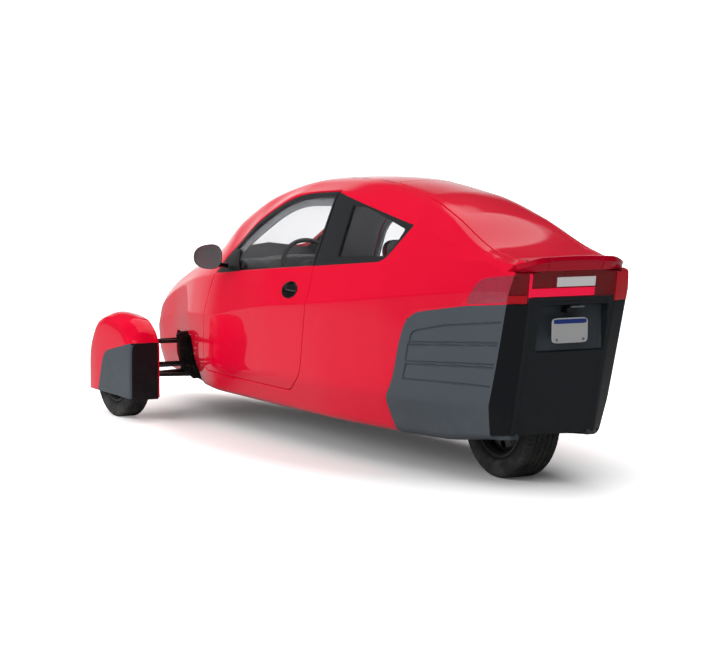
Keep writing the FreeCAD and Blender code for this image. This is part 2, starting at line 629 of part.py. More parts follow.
# Plan of a wishbone, x from the axle: root edge, outer side of a leg, inner side of it
WISHBONES = (("lower", "lower_arm_z", 150, 105, 26, 12), ("upper", "upper_arm_z", 95, 60, 20, 10))
arms = []
for name, height, root_out, root_in, end_out, end_in in WISHBONES:
    reach = KINGPIN + " + 18"
    outline = ((-root_out, "arm_root_y"), (-root_in, "arm_root_y"), (-end_in, KINGPIN + " - 110"),
               (end_in, KINGPIN + " - 110"), (root_in, "arm_root_y"), (root_out, "arm_root_y"),
               (end_out, KINGPIN + " - 22"), (end_out - 6, reach), (6 - end_out, reach), (-end_out, KINGPIN + " - 22"))
    spots = [(AXLE + " + %d" % x_here, y_here) for x_here, y_here in outline]
    arm = pad("wishbone_" + name, "XY", spots, height, height + " + arm_thick")
    if name == "lower":
        stud = rod("kingpin_" + name, "kingpin_radius", (AXLE, KINGPIN, height), "arm_thick + 24", "Z")
    else:
        stud = rod("kingpin_" + name, "kingpin_radius", (AXLE, KINGPIN, height + " - 24"),
                   "arm_thick + 24", "Z")
    arms.append(fuse("wishbone_with_stud_" + name, arm, stud))
arms += [mirrored(item.Label + "_right", item) for item in arms]
keep(feature_group("control_arms", arms))


def strut(label, foot, head, radius_low, radius_high):
    """A spring strut between two points: a damper body and a thinner rod above it."""
    foot, head = Vector(*foot), Vector(*head)
    line = head - foot
    middle = foot + line * 0.55
    lower = Part.makeCylinder(radius_low, line.Length * 0.55, foot, line)
    upper = Part.makeCylinder(radius_high, line.Length * 0.45, middle, line)
    return feature(label, lower.fuse(upper))


arm_top = size("lower_arm_z") + size("arm_thick")
root = size("arm_root_y")
left_strut = strut("front_damper_left", (FRONT + 105, root + 75, arm_top + 12),
                   (FRONT + 116, root + 14, 540), 18, 11)
foot_left = box("damper_foot", (AXLE + " + 94", "arm_root_y + 65", "lower_arm_z + arm_thick"),
                (AXLE + " + 116", "arm_root_y + 85", "lower_arm_z + arm_thick + 30"))
head_left = box("damper_head", (AXLE + " + 104", "arm_root_y", 515),
                (AXLE + " + 128", "arm_root_y + 26", 550))
front_left = fuse("damper_left", left_strut, foot_left, head_left)
keep(feature_group("front_dampers", [front_left, mirrored("damper_right", front_left)]))
shaft = rod("shaft_bar", 14, (AXLE, "engine_half", WHEEL_Z), KINGPIN + " - 40 - engine_half", "Y")
boots = [rod("shaft_boot_" + name, 32, (AXLE, start, WHEEL_Z), 60, "Y")
         for name, start in (("inner", "engine_half"), ("outer", KINGPIN + " - 100"))]
shaft_left = fuse("shaft_left", shaft, *boots)
keep(feature_group("drive_shafts", [shaft_left, mirrored("shaft_right", shaft_left)]))

upright = box("upright", (AXLE + " - 30", KINGPIN + " - upright_half", "lower_arm_z + arm_thick + passing"),
              (AXLE + " + 30", KINGPIN + " + upright_half", "upper_arm_z - passing"))
spindle = rod("spindle", "axle_radius", (AXLE, KINGPIN, WHEEL_Z), "kingpin_offset + 27", "Y")
steer_arm = box("steer_arm", (AXLE + " - 165", KINGPIN + " - upright_half", "rack_z + 18"),
                (AXLE + " + 150", KINGPIN + " + upright_half", "rack_z + 48"))
king_bore = rod("cut_kingpin", "kingpin_radius + running", (AXLE, KINGPIN, "lower_arm_z"), 50, "Z")
king_bore_high = rod("cut_kingpin_high", "kingpin_radius + running",
                     (AXLE, KINGPIN, "upper_arm_z - 30"), 60, "Z")
knuckle = cut("knuckle_left", fuse("part_knuckle", upright, spindle, steer_arm), king_bore, king_bore_high)
# Side view of a fairing, x from the front axle, and of the flap on its rear half
BACK_REACH = "(-front_tyre_radius - %d)"
FRONT_REACH = "(front_tyre_radius + %d)"
CROWN = "2 * front_tyre_radius + %d"
FAIRING = ((BACK_REACH % 15, "fairing_foot_z"), (BACK_REACH % 24, CROWN % -120), (BACK_REACH % -25, CROWN % -45),
           (-150, CROWN % 10), (30, CROWN % 32), (160, CROWN % 10), (FRONT_REACH % 0, CROWN % -80),
           (FRONT_REACH % 75, "front_tyre_radius + 75"), (FRONT_REACH % 101, "front_tyre_radius - 25"),
           (FRONT_REACH % 81, 160), (FRONT_REACH % 51, "fairing_foot_z"))
FLAP = ((BACK_REACH % 55, 100), (BACK_REACH % 55, CROWN % -118), (BACK_REACH % 10, CROWN % -120),
        (66, CROWN % -190), (156, 100))
hull = along(FAIRING, "half_track - fairing_half_in", "half_track + fairing_half_out", "form_fairing", AXLE)
well_low, well_high = "half_track - fairing_half_in + 25", "half_track + fairing_half_out - fairing_wall"
well = rod("cut_well", "front_tyre_radius + fairing_well", (AXLE, well_low, WHEEL_Z),
           "%s - (%s)" % (well_high, well_low), "Y")
well_foot = box("cut_well_foot", (AXLE + " - front_tyre_radius - fairing_well", well_low, 0),
                (AXLE + " + front_tyre_radius + fairing_well", well_high, WHEEL_Z))
inner_port = box("cut_inner_port", (AXLE + " - 165", "half_track - fairing_half_in - 50", 0),
                 (AXLE + " + 150", "half_track - fairing_half_in + 40", CROWN % -80))
flap_form = along(FLAP, 0, 900, "form_flap", AXLE)
flap_core = box("cut_flap_core", (AXLE + " - front_tyre_radius - 24 + flap_thick", 0, 0),
                (AXLE + " + 400", "half_track + fairing_half_out - flap_thick", 700))
flap = cut("fairing_flap_left", common("part_flap", hull, flap_form), flap_core)
fairing = cut("fairing_left", hull, well, well_foot, inner_port, flap)


def tyre(label, radius, rim, width, at, middle):
    """A tyre as a turned section, its shoulders rounded."""
    edge = size(radius)
    bead = size(rim) + size("seat_gap")
    half = size(width) / 2
    spot = Vector(at, middle - half, edge)
    solid = Part.makeCylinder(edge, 2 * half, spot, Vector(0, 1, 0))
    rounds = [item for item in solid.Edges if item.Curve.TypeId == "Part::GeomCircle"]
    solid = solid.makeFillet(size("tyre_round"), rounds)
    bore = Part.makeCylinder(bead, 2 * half + 2, spot - Vector(0, 1, 0), Vector(0, 1, 0))
    return feature(label, solid.cut(bore))


def rim(label, radius, width, at, low, hub, hub_low, hub_high, centre_z):
    """A wheel's rim: barrel, disc near its outer side and hub with the axle's bore."""
    barrel = rod(label + "_barrel", radius, (at, low, centre_z), width + " - 4", "Y")
    hollow = rod(label + "_hollow", radius + " - rim_wall", (at, low + " - 5", centre_z),
                 width + " + 10", "Y")
    disc = rod(label + "_disc", radius + " - 1", (at, hub_high + " - 20", centre_z), 14, "Y")
    hub_body = rod(label + "_hub", hub, (at, hub_low, centre_z), "%s - (%s)" % (hub_high, hub_low), "Y")
    bore = rod(label + "_bore", "axle_radius + running", (at, hub_low + " - 5", centre_z),
               "%s - (%s) + 10" % (hub_high, hub_low), "Y")
    ring = cut(label + "_ring", barrel, hollow)
    return cut(label, fuse(label + "_whole", ring, disc, hub_body), bore)


front_tyre = tyre("tyre_front_left", "front_tyre_radius", "front_rim_radius", "front_tyre_width",
                  FRONT, TRACK)
front_rim = rim("rim_front_left", "front_rim_radius", "front_tyre_width", AXLE,
                "half_track - front_tyre_width / 2 + 2", "front_hub_radius",
                KINGPIN + " + upright_half + passing", "half_track + 40", WHEEL_Z)
for item in (knuckle, fairing, flap, front_tyre, front_rim):
    keep(item)
    keep(mirrored(item.Label.replace("left", "right"), item))
rack = rod("rack_bar", "rack_radius", (AXLE + " - rack_back", -370, "rack_z"), 740, "Y")
tie_rods = rod("tie_rod", 9, (AXLE + " - rack_back", "-(%s)" % KINGPIN, "rack_z"), "2 * (%s)" % KINGPIN, "Y")
rod_ends = [rod("rod_end_" + name, 16, (AXLE + " - rack_back", spot, "rack_z - 12"), 24, "Z")
            for name, spot in (("left", KINGPIN), ("right", "-(%s)" % KINGPIN))]
keep(fuse("rack_and_tie_rods", rack, tie_rods, *rod_ends))

# ---------------------------------------------------------------- rear end
BACK = "rear_axle_x"
REAR_Z = "rear_tyre_radius"
legs = [box("swing_leg_" + name, (BACK + " - 40", low, REAR_Z + " - 22"),
            (BACK + " + 480", high, REAR_Z + " + 22"))
        for name, low, high in (("left", "swing_in", "swing_in + 24"), ("right", "-swing_in - 24", "-swing_in"))]
swing_cross = box("swing_cross", (BACK + " + rear_tyre_radius + 75", "-swing_in", REAR_Z + " - 22"),
                  (BACK + " + rear_tyre_radius + 130", "swing_in", REAR_Z + " + 22"))
axle = rod("rear_axle", "axle_radius", (BACK, "-swing_in - 30", REAR_Z), "2 * swing_in + 60", "Y")
keep(fuse("swingarm", swing_cross, axle, *legs))
keep(tyre("tyre_rear", "rear_tyre_radius", "rear_rim_radius", "rear_tyre_width", REAR, 0))
keep(rim("rim_rear", "rear_rim_radius", "rear_tyre_width", BACK, "2 - rear_tyre_width / 2", "hub_radius",
         "passing - swing_in", "swing_in - passing", REAR_Z))
damper_x = REAR + size("rear_tyre_radius") + 102
keep(strut("rear_damper", (damper_x, 0, size("rear_tyre_radius") + 22),
           (damper_x, 0, value_of(DECK_Z)), 32, 14))

# ---------------------------------------------------------------- floor pads and tow socket
pads = [rod("jack_pad_%d" % number, 32, (BACK + " + %d" % x_here, y_here, 168), 20, "Z")
        for number, (x_here, y_here) in enumerate(((700, 300), (700, -300), (2350, 300), (2350, -300)))]
keep(fuse("floor_pan", floor_slab, *pads))
doc.recompute()

broken = [item.Label for item in doc.Objects if "Invalid" in item.State or "Error" in item.State]
broken += [item.Label for item in NODES if item.Shape.isNull() or not item.Shape.isValid()]
if broken:
    raise SystemExit("not sound: " + ", ".join(sorted(set(broken))))
os.makedirs("parts", exist_ok=True)
for item in NODES:
    item.Shape.exportStep("parts/%s.step" % item.Label)
    corners = item.Shape.optimalBoundingBox(False)
    print("%-20s %d solids %9.3f L  x %.0f..%.0f y %.0f..%.0f z %.0f..%.0f" % (
        item.Label, len(item.Shape.Solids), item.Shape.Volume / 1e6, corners.XMin, corners.XMax,
        corners.YMin, corners.YMax, corners.ZMin, corners.ZMax))
print(len(NODES), "pieces")
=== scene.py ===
# %% [markdown]
# # A three-wheeled car
# Two people sit in line in a narrow body with a long falling tail. Two front wheels
# stand out on wishbones under their own fairings and one rear wheel turns on a
# swingarm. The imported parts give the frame; every visible skin is made here as a
# surface, in metres, in that same frame.

import json
import math

import bpy
import numpy as np
from mathutils import Matrix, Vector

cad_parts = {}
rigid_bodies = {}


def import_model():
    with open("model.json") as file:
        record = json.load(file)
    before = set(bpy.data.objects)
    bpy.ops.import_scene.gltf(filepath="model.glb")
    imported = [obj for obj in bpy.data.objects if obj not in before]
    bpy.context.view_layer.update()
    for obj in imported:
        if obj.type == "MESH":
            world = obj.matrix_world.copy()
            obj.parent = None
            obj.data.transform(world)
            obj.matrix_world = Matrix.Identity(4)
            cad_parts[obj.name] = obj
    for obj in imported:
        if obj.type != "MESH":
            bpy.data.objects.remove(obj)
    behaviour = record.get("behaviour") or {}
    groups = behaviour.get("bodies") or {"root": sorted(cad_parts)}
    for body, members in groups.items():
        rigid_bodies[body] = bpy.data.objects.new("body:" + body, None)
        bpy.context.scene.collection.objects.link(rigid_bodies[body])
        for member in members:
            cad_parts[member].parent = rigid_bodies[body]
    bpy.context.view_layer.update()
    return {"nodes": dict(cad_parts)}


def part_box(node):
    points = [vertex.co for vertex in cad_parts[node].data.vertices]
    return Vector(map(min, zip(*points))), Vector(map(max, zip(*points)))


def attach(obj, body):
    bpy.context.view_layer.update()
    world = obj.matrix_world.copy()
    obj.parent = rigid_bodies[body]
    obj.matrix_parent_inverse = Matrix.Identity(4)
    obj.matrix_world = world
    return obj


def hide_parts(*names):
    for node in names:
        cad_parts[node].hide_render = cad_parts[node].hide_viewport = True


for item in list(bpy.data.objects):
    bpy.data.objects.remove(item)
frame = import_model()
NODES = frame["nodes"]


# %% Where the wheels stand
def middle(node):
    """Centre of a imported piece's box."""
    low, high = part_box(node)
    return np.array((low + high) / 2)


REAR = middle("rim_rear")[0]
FRONT = middle("rim_front_left")[0]
TRACK = middle("tyre_front_left")[1]
print("rear axle", round(REAR, 4), "front axle", round(FRONT, 4), "half track", round(TRACK, 4))

# %% [markdown]
# ## Helpers for surfaces
# Every panel of this car belongs to one flowing form, so the form is worked out
# first and the panels are cut from it, the way a clay model is cut into panels.

# %% A curve through given stations
def smooth_through(at, stations, values):
    """Cubic between stations; each slope is the harmonic mean of its two neighbours, so nothing overshoots."""
    stations = np.asarray(stations, float)
    values = np.asarray(values, float)
    at = np.clip(np.asarray(at, float), stations[0], stations[-1])
    step = np.diff(stations)[:, None]
    rise = np.diff(values, axis=0) / step
    product = rise[:-1] * rise[1:]
    total = np.where(rise[:-1] + rise[1:] == 0, 1, rise[:-1] + rise[1:])
    slope = np.vstack([rise[:1], np.where(product > 0, 2 * product / total, 0), rise[-1:]])
    cell = np.clip(np.searchsorted(stations, at, side="right") - 1, 0, len(stations) - 2)
    length = step[cell]
    t = (at - stations[cell])[..., None] / length
    return ((1 + 2 * t) * (1 - t) ** 2 * values[cell] + t * (1 - t) ** 2 * length * slope[cell]
            + t * t * (3 - 2 * t) * values[cell + 1] + t * t * (t - 1) * length * slope[cell + 1])


def soft(t, width):
    """Zero below, t above, joined over width either side by a parabola."""
    return np.where(t < -width, 0, np.where(t > width, t, (t + width) ** 2 / (4 * width)))

# %% [markdown]
# ## The form
# Half a section has eight corners, from the middle of the roof down to the middle of
# the floor. Between sections each corner runs along a smooth curve, and round the
# section each corner is rounded by its own amount: tight at the belt and the crease,
# wide at the roof. A table of stations is how a body is lofted by hand, and it keeps
# each crease in one row that can be read and changed.

# %% Stations of the body
# x from the rear axle, then y z of foot, ridge, crease, belt, window top, cant rail, and z of the roof's middle
STATIONS = np.array((
    (-530, 268, 246, 292, 386, 314, 912, 304, 975, 290, 1030, 210, 1062, 1068),
    (-430, 280, 237, 308, 386, 326, 906, 313, 992, 296, 1033, 236, 1046, 1052),
    (-250, 300, 222, 335, 387, 345, 896, 325, 1036, 305, 1059, 272, 1075, 1095),
    (130, 340, 182, 420, 387, 420, 860, 380, 1010, 335, 1127, 245, 1219, 1245),
    (450, 400, 180, 475, 382, 485, 822, 430, 986, 347, 1205, 210, 1305, 1327),
    (1050, 458, 180, 525, 374, 541, 752, 480, 930, 352, 1297, 180, 1365, 1377),
    (1450, 460, 180, 530, 364, 545, 712, 487, 895, 360, 1273, 215, 1348, 1368),
    (1860, 460, 180, 523, 353, 525, 656, 472, 857, 380, 1126, 285, 1260, 1298),
    (2170, 460, 180, 511, 345, 505, 608, 455, 822, 412, 920, 300, 1146, 1190),
    (2580, 386, 180, 432, 331, 445, 575, 405, 775, 350, 850, 250, 925, 955),
    (3000, 290, 185, 335, 320, 345, 540, 325, 690, 290, 750, 215, 800, 830),
    (3350, 235, 200, 268, 310, 280, 470, 262, 570, 235, 615, 180, 655, 680),
    (3490, 190, 215, 215, 300, 225, 410, 212, 480, 190, 520, 145, 548, 562),
    (3547, 150, 245, 165, 300, 170, 370, 160, 415, 140, 440, 105, 455, 462))) / 1000
STATIONS[:, 0] += REAR
# How far each corner is rounded, as a share of the runs beside it: roof, cant rail, window top, belt, crease,
# ridge, foot, floor
ROUNDING = (.5, .34, .12, .07, .05, .15, .2, .3)


# %% Sections between the stations
def corners_at(x):
    """The section's fifteen corners at each x: from the floor's middle up the right side and down the left."""
    row = smooth_through(x, STATIONS[:, 0], STATIONS[:, 1:])
    left = [(row[..., k], row[..., k + 1]) for k in (10, 8, 6, 4, 2, 0)] + [(0 * row[..., 0], row[..., 1])]
    whole = [(-y, z) for y, z in left[::-1]] + [(0 * row[..., 12], row[..., 12])] + left
    return np.stack([np.stack(pair, -1) for pair in whole], -2)


def form(x, s):
    """Skin of the body: x along it, s round it (0 roof, 3 belt, 4 crease, 6 foot, 7 floor; right side negative).

    The section is its first corner plus each run times a ramp that goes from 0 to 1 along that run."""
    corners = corners_at(x)
    width = np.array(ROUNDING[:0:-1] + ROUNDING)
    place = np.arange(-7, 8)
    rise = np.stack([soft(s - place[k], width[k]) for k in range(15)], -1)
    ramp = rise[:, :-1] - rise[:, 1:]
    yz = corners[:, :1] + np.einsum("mk,nkc->nmc", ramp, np.diff(corners, axis=1))
    return np.concatenate([np.broadcast_to(x[:, None, None], yz.shape[:2] + (1,)), yz], -1)


def side(x, z):
    """Half width of the body at a height: the section read as y over z, its corners rounded by 8 mm."""
    corners = corners_at(np.asarray(x, float))[..., 7:14, :][..., ::-1, :]
    y, level = corners[..., 0], corners[..., 1]
    z = np.asarray(z, float)[..., None]
    run = np.maximum(np.diff(level, axis=-1), 1e-4)
    ramp = (soft(z - level[..., :-1], .008) - soft(z - level[..., 1:], .008)) / run
    return y[..., 0] + (np.diff(y, axis=-1) * ramp).sum(-1)


print("body at the door:", round(float(side(REAR + 1.5, .8)), 3), "m from the middle")


# %% Sheets on grids of points
def grid(rows, columns, closed=False):
    """Two triangles for each cell of a grid; closed joins the last column to the first."""
    here = np.arange(rows * columns).reshape(rows, columns)
    if closed:
        here = np.concatenate([here, here[:, :1]], 1)
    a, b, c, d = here[:-1, :-1], here[1:, :-1], here[1:, 1:], here[:-1, 1:]
    return np.concatenate([np.stack([a, b, c], -1).reshape(-1, 3), np.stack([a, c, d], -1).reshape(-1, 3)])


def merged(points, faces):
    """Joins points that lie within a hundredth of a millimetre and drops faces without area."""
    _, first, back = np.unique(np.round(points * 1e5).astype(np.int64), axis=0, return_index=True,
                               return_inverse=True)
    faces = back.reshape(-1)[faces]
    sound = (faces[:, 0] != faces[:, 1]) & (faces[:, 1] != faces[:, 2]) & (faces[:, 0] != faces[:, 2])
    return points[first], faces[sound]


# %% Grids of points as sheets
def laid(points, closed=False):
    """A grid of points, rows by columns by 3, as points and faces."""
    return points.reshape(-1, 3), grid(*points.shape[:2], closed)


def sheet(points, closed=False):
    """The same with the points that coincide joined."""
    return merged(*laid(points, closed))


def xyz(x, y, z):
    """Points from three coordinates, each spread over the others."""
    return np.stack(np.broadcast_arrays(x, y, z), -1)


# %% Which way faces look
def outward(points, faces):
    """Unit normal at each point: its faces' cross products added up."""
    cross = np.cross(points[faces[:, 1]] - points[faces[:, 0]], points[faces[:, 2]] - points[faces[:, 0]])
    total = np.zeros_like(points)
    for corner in range(3):
        np.add.at(total, faces[:, corner], cross)
    return total / np.maximum(np.linalg.norm(total, axis=1), 1e-12)[:, None]


def moved(part, by):
    """A sheet moved along its normals by one distance, or by one for each point."""
    points, faces = part
    return points + outward(points, faces) * np.reshape(by, (-1, 1)), faces


def flipped(part, turn=True):
    """A sheet with its faces turned round where turn is true."""
    points, faces = part
    return points, faces[:, ::-1] if turn else faces


def faced(part, way):
    """A sheet turned round if its normals added up look against a direction."""
    return flipped(part, (outward(*part).mean(0) * way).sum() <= 0)


def faced_out(part):
    """A shape turned round if the volume that its faces enclose about its middle is negative."""
    a, b, c = (part[0] - part[0].mean(0))[part[1]].transpose(1, 0, 2)
    return flipped(part, (a * np.cross(b, c)).sum() < 0)


# %% Cutting a sheet
def trimmed(points, faces, reach):
    """Keeps what has reach above 0; a triangle across the line is cut where reach, linear on its edges, is 0."""
    value = reach(points)
    inside = value[faces] > 0
    count = inside.sum(1)
    kept = [faces[count == 3]]
    made = []
    total = len(points)
    for number, lone in ((1, True), (2, False)):
        some = faces[count == number]
        turn = np.argmax(inside[count == number] == lone, axis=1)
        some = np.take_along_axis(some, (turn[:, None] + np.arange(3)) % 3, 1)
        a, b, c = some.T
        cuts = []
        for other in (b, c):
            share = (value[a] / (value[a] - value[other]))[:, None]
            made.append(points[a] + (points[other] - points[a]) * share)
            cuts.append(total + np.arange(len(a)))
            total += len(a)
        if lone:
            kept.append(np.stack([a, cuts[0], cuts[1]], -1))
        else:
            kept += [np.stack([cuts[0], b, c], -1), np.stack([cuts[0], c, cuts[1]], -1)]
    return merged(np.concatenate([points] + made), np.concatenate(kept))


def cut(part, *reaches):
    """A sheet trimmed by one reach after another."""
    for reach in reaches:
        part = trimmed(*part, reach)
    return part


# %% A sheet given thickness
def solid(part, depth=.024, roll=.004, plain=None):
    """A sheet given thickness: a quarter round of radius roll along its edges, a wall and an inner skin.

    An edge point moves out from the sheet by roll sin a and in by roll (1 - cos a), a from 0 to 90 degrees.
    Where plain is zero the edge stays square. Returns points, faces and a mark that is 1 on the inner skin."""
    points, faces = part
    normal = outward(points, faces)
    edges = np.concatenate([faces[:, [0, 1]], faces[:, [1, 2]], faces[:, [2, 0]]])
    keys = np.sort(edges, 1) @ np.array([len(points), 1])
    _, first, counts = np.unique(keys, return_index=True, return_counts=True)
    rim = edges[first[counts == 1]]
    along = points[rim[:, 1]] - points[rim[:, 0]]
    along /= np.maximum(np.linalg.norm(along, axis=1), 1e-9)[:, None]
    away = np.zeros_like(points)
    for corner in range(2):
        np.add.at(away, rim[:, corner], np.cross(along, normal[rim[:, corner]]))
    border, index = np.unique(rim, return_inverse=True)
    index = index.reshape(-1, 2)
    away = away[border] / np.maximum(np.linalg.norm(away[border], axis=1), 1e-9)[:, None]
    size = np.full((len(border), 1), roll)
    if plain is not None:
        size[np.abs(plain(points[border])) < 1e-3] = 0
    rows = [points[border] + away * size * math.sin(a) - normal[border] * size * (1 - math.cos(a))
            for a in np.linspace(0, math.pi / 2, 5)[1:]]
    count = len(points)
    levels = [border] + [count + k * len(border) + np.arange(len(border)) for k in range(len(rows))]
    levels.append(count + len(rows) * len(border) + border)
    strips = []
    for low, high in zip(levels[:-1], levels[1:]):
        a, b = low[index[:, 0]], low[index[:, 1]]
        c, d = high[index[:, 1]], high[index[:, 0]]
        strips += [np.stack([a, d, b], -1), np.stack([b, d, c], -1)]
    back = faces[:, ::-1] + count + len(rows) * len(border)
    every_face = np.concatenate([faces] + strips + [back])
    mark = np.zeros(len(every_face), int)
    mark[-len(back):] = 1
    return np.concatenate([points] + rows + [points - normal * depth]), every_face, mark


# %% Parts as one
def together(*parts):
    """Several (points, faces) or (points, faces, mark) as one."""
    points, faces, marks, start = [], [], [], 0
    for part in parts:
        points.append(part[0])
        faces.append(part[1] + start)
        marks.append(part[2] if len(part) > 2 else np.zeros(len(part[1]), int))
        start += len(part[0])
    return np.concatenate(points), np.concatenate(faces), np.concatenate(marks)


# %% A piece of the car
def shape(name, points, faces):
    """A new object in the scene with a mesh of points and faces."""
    mesh = bpy.data.meshes.new(name)
    mesh.from_pydata(points.tolist(), [], faces.tolist())
    thing = bpy.data.objects.new(name, mesh)
    bpy.context.scene.collection.objects.link(thing)
    return thing


def piece(name, body, part, finishes, slot, *stands_for, crease=35):
    """Puts a part into a mesh, sharp only past the crease angle, that rides on a body.

    Where there are several finishes, the part's mark says which one each face has."""
    thing = shape(name, *part[:2])
    mesh = thing.data
    if isinstance(finishes, tuple):
        for material in finishes:
            mesh.materials.append(material)
        mesh.polygons.foreach_set("material_index", part[2].astype(np.int32))
    else:
        mesh.materials.append(finishes)
    mesh.shade_smooth()
    mesh.set_sharp_from_angle(angle=math.radians(crease))
    mesh.update()
    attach(thing, body)
    if stands_for:
        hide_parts(*stands_for)
    print("%-22s %6d faces on %s" % (name, len(part[1]), body))

# %% [markdown]
# ## Outlines
# Doors, lids and windows are drawn flat, in side view or in plan, with rounded
# corners. How far a point lies inside an outline is then one number, and the skin is
# cut where that number is zero.

# %% Outlines with rounded corners
def outline(corners, rounding, shift=REAR):
    """A closed outline in metres from corners in mm, each rounded by a parabola that starts its rounding away."""
    corners = np.array(corners, float) / 1000
    corners[:, 0] += shift
    size = np.broadcast_to(np.asarray(rounding, float) / 1000, len(corners))[:, None]
    to_last = np.roll(corners, 1, 0) - corners
    to_next = np.roll(corners, -1, 0) - corners
    start = corners + to_last / np.linalg.norm(to_last, axis=1)[:, None] * size
    end = corners + to_next / np.linalg.norm(to_next, axis=1)[:, None] * size
    t = np.linspace(0, 1, 9)[:, None, None]
    curve = (1 - t) ** 2 * start + 2 * t * (1 - t) * corners + t * t * end
    return curve.transpose(1, 0, 2).reshape(-1, 2)


# %% How far a point is from an outline
def distance(a, b, line, closed=True):
    """Distance from points (a, b) to a line of straight runs."""
    start = line if closed else line[:-1]
    run = (np.roll(line, -1, 0) if closed else line[1:]) - start
    length = np.maximum((run ** 2).sum(1), 1e-12)
    best = np.full(len(a), 9.)
    for part in np.array_split(np.arange(len(a)), max(1, len(a) // 20000)):
        da = a[part, None] - start[:, 0]
        db = b[part, None] - start[:, 1]
        share = np.clip((da * run[:, 0] + db * run[:, 1]) / length, 0, 1)
        best[part] = np.sqrt(((da - share * run[:, 0]) ** 2 + (db - share * run[:, 1]) ** 2).min(1))
    return best


def within(a, b, line):
    """Signed distance, positive inside: the sign comes from how often a ray crosses the outline."""
    after = np.roll(line, -1, 0)
    crossing = np.zeros(len(a), int)
    for (a0, b0), (a1, b1) in zip(line, after):
        if b0 != b1:
            crossing += ((b0 > b) != (b1 > b)) & (a < (a1 - a0) * (b - b0) / (b1 - b0) + a0)
    return distance(a, b, line) * np.where(crossing % 2 == 1, 1, -1)


# %% The reach inside an outline
def inside_of(line, view="side", grow=0, hand=0):
    """Reach inside an outline seen from the side or in plan, grown by some metres; hand keeps it to one side."""
    def reach(points):
        value = within(points[:, 0], points[:, 2 if view == "side" else 1], line) + grow
        return np.minimum(value, hand * points[:, 1]) if hand else value
    return reach


def outside_of(line, view="side", grow=0, hand=0):
    """Reach outside an outline."""
    inner = inside_of(line, view, grow, hand)
    return lambda points: -inner(points)


# %% The car's outlines
DOOR = outline(((1120, 386), (1270, 288), (2330, 288), (2330, 640), (2290, 800), (2190, 920), (1860, 1138),
                (1450, 1287), (1050, 1314), (1070, 930), (1030, 790), (1070, 610)),
               (60, 40, 60, 150, 80, 60, 150, 180, 12, 60, 60, 90))
QUARTER = outline(((466, 990), (1085, 932), (1075, 1306), (318, 1172)), (60, 3, 3, 16))
QUARTER_CLEAR = outline(((450, 1020), (872, 992), (880, 1246), (740, 1238), (374, 1150), (412, 1078)),
                        (30, 10, 12, 60, 12, 30))
DOOR_CLEAR = outline(((1098, 934), (2075, 842), (2100, 950), (1890, 1082), (1658, 1184), (1506, 1234),
                      (1330, 1266), (1073, 1278)), (12, 14, 25, 80, 80, 80, 80, 14))
DOOR_OPEN = outline(((1083, 900), (2100, 810), (2045, 930), (1870, 1034), (1634, 1146), (1500, 1196),
                     (1360, 1226), (1076, 1238)), (12, 14, 30, 80, 80, 80, 80, 14))
RIGHT_WINDOW = outline(((1070, 936), (2110, 842), (1870, 1110), (1450, 1276), (1053, 1304)),
                       (6, 20, 100, 150, 6))
RIGHT_CLEAR = outline(((1118, 956), (2060, 864), (1855, 1086), (1450, 1246), (1105, 1270)),
                      (12, 20, 100, 150, 14))
CLADDING = outline(((-700, 100), (380, 100), (394, 350), (328, 440), (262, 690), (205, 772), (-160, 829),
                    (-700, 879)), (10, 10, 40, 40, 90, 80, 20, 10))
LAMPS = outline(((-700, 882), (-160, 832), (-200, 905), (-245, 955), (-330, 970), (-700, 1012)),
                (10, 6, 60, 50, 60, 10))
HATCH = outline(((800, -165), (800, 165), (420, 205), (0, 245), (-250, 255), (-425, 222), (-450, 145),
                 (-700, 145), (-700, -145), (-450, -145), (-425, -222), (-250, -255), (0, -245), (420, -205)),
                (40, 40, 90, 120, 60, 25, 15, 5, 5, 15, 25, 60, 120, 90))
SCREEN = outline(((1465, -190), (2200, -283), (2500, -243), (2560, -180), (2560, 180), (2500, 243), (2200, 283),
                  (1465, 190)), (50, 90, 50, 50, 50, 50, 90, 50))
HEADLAMPS = outline(((3405, 420), (3470, 360), (3510, 350), (3510, 430), (3494, 475), (3420, 500)),
                    (14, 12, 6, 8, 12, 14))
BONNET = outline(((2660, -200), (3240, -160), (3240, 160), (2660, 200)), 35)
ARM_PORT = outline(((2440, 120), (3040, 120), (2990, 455), (2604, 455)), (5, 5, 40, 25))
print("outlines:", len(DOOR), "points round the door,", len(HATCH), "round the lid")

# %% The tail's face
LIP_FOOT = .998     # height where the panel's bevels end and the lip begins


def tail(y, z):
    """x of the tail's face: a leaning profile in the middle, bevels beside it, and a lip bowed in plan."""
    line = REAR + np.interp(z, (.246, .251, .878, 1.0, 1.045, 1.2), (-.352, -.352, -.488, -.503, -.530, -.530))
    edge = np.interp(z, (.15, 1.0), (.224, .232))
    corner_y = np.interp(z, (.15, 1.0), (.291, .326))
    corner_x = REAR + np.interp(z, (.15, 1.0), (-.270, -.487))
    lean = np.where(z < LIP_FOOT, (corner_x - line) / (corner_y - edge), 0)
    bow = np.where(z < LIP_FOOT, 0, .95 * soft(np.abs(y) - .235, .07))
    return line + lean * soft(np.abs(y) - edge, .008) + bow


def before_tail(points):
    """Reach in front of the tail's face."""
    return points[:, 0] - tail(points[:, 1], points[:, 2])


def skin(low, high, round_low, round_high, step=.016, density=16, cuts=(), hand=1):
    """A patch of the form: x from low to high past the rear axle, s from corner to corner, denser at each."""
    x = np.linspace(REAR + low, REAR + high, int((high - low) / step) + 2)
    round_low, round_high = sorted((round_low * hand, round_high * hand))
    t = np.linspace(round_low, round_high, int((round_high - round_low) * density) + 2)
    s = t - .85 * np.sin(2 * np.pi * t) / (2 * np.pi)
    return merged(*cut(laid(form(x, s)), *cuts))


test = skin(-.53, 3.547, -6, 6, .1, 2)
print("normals point out:", bool((outward(*test)[:, 1] * test[0][:, 1]).mean() > 0))

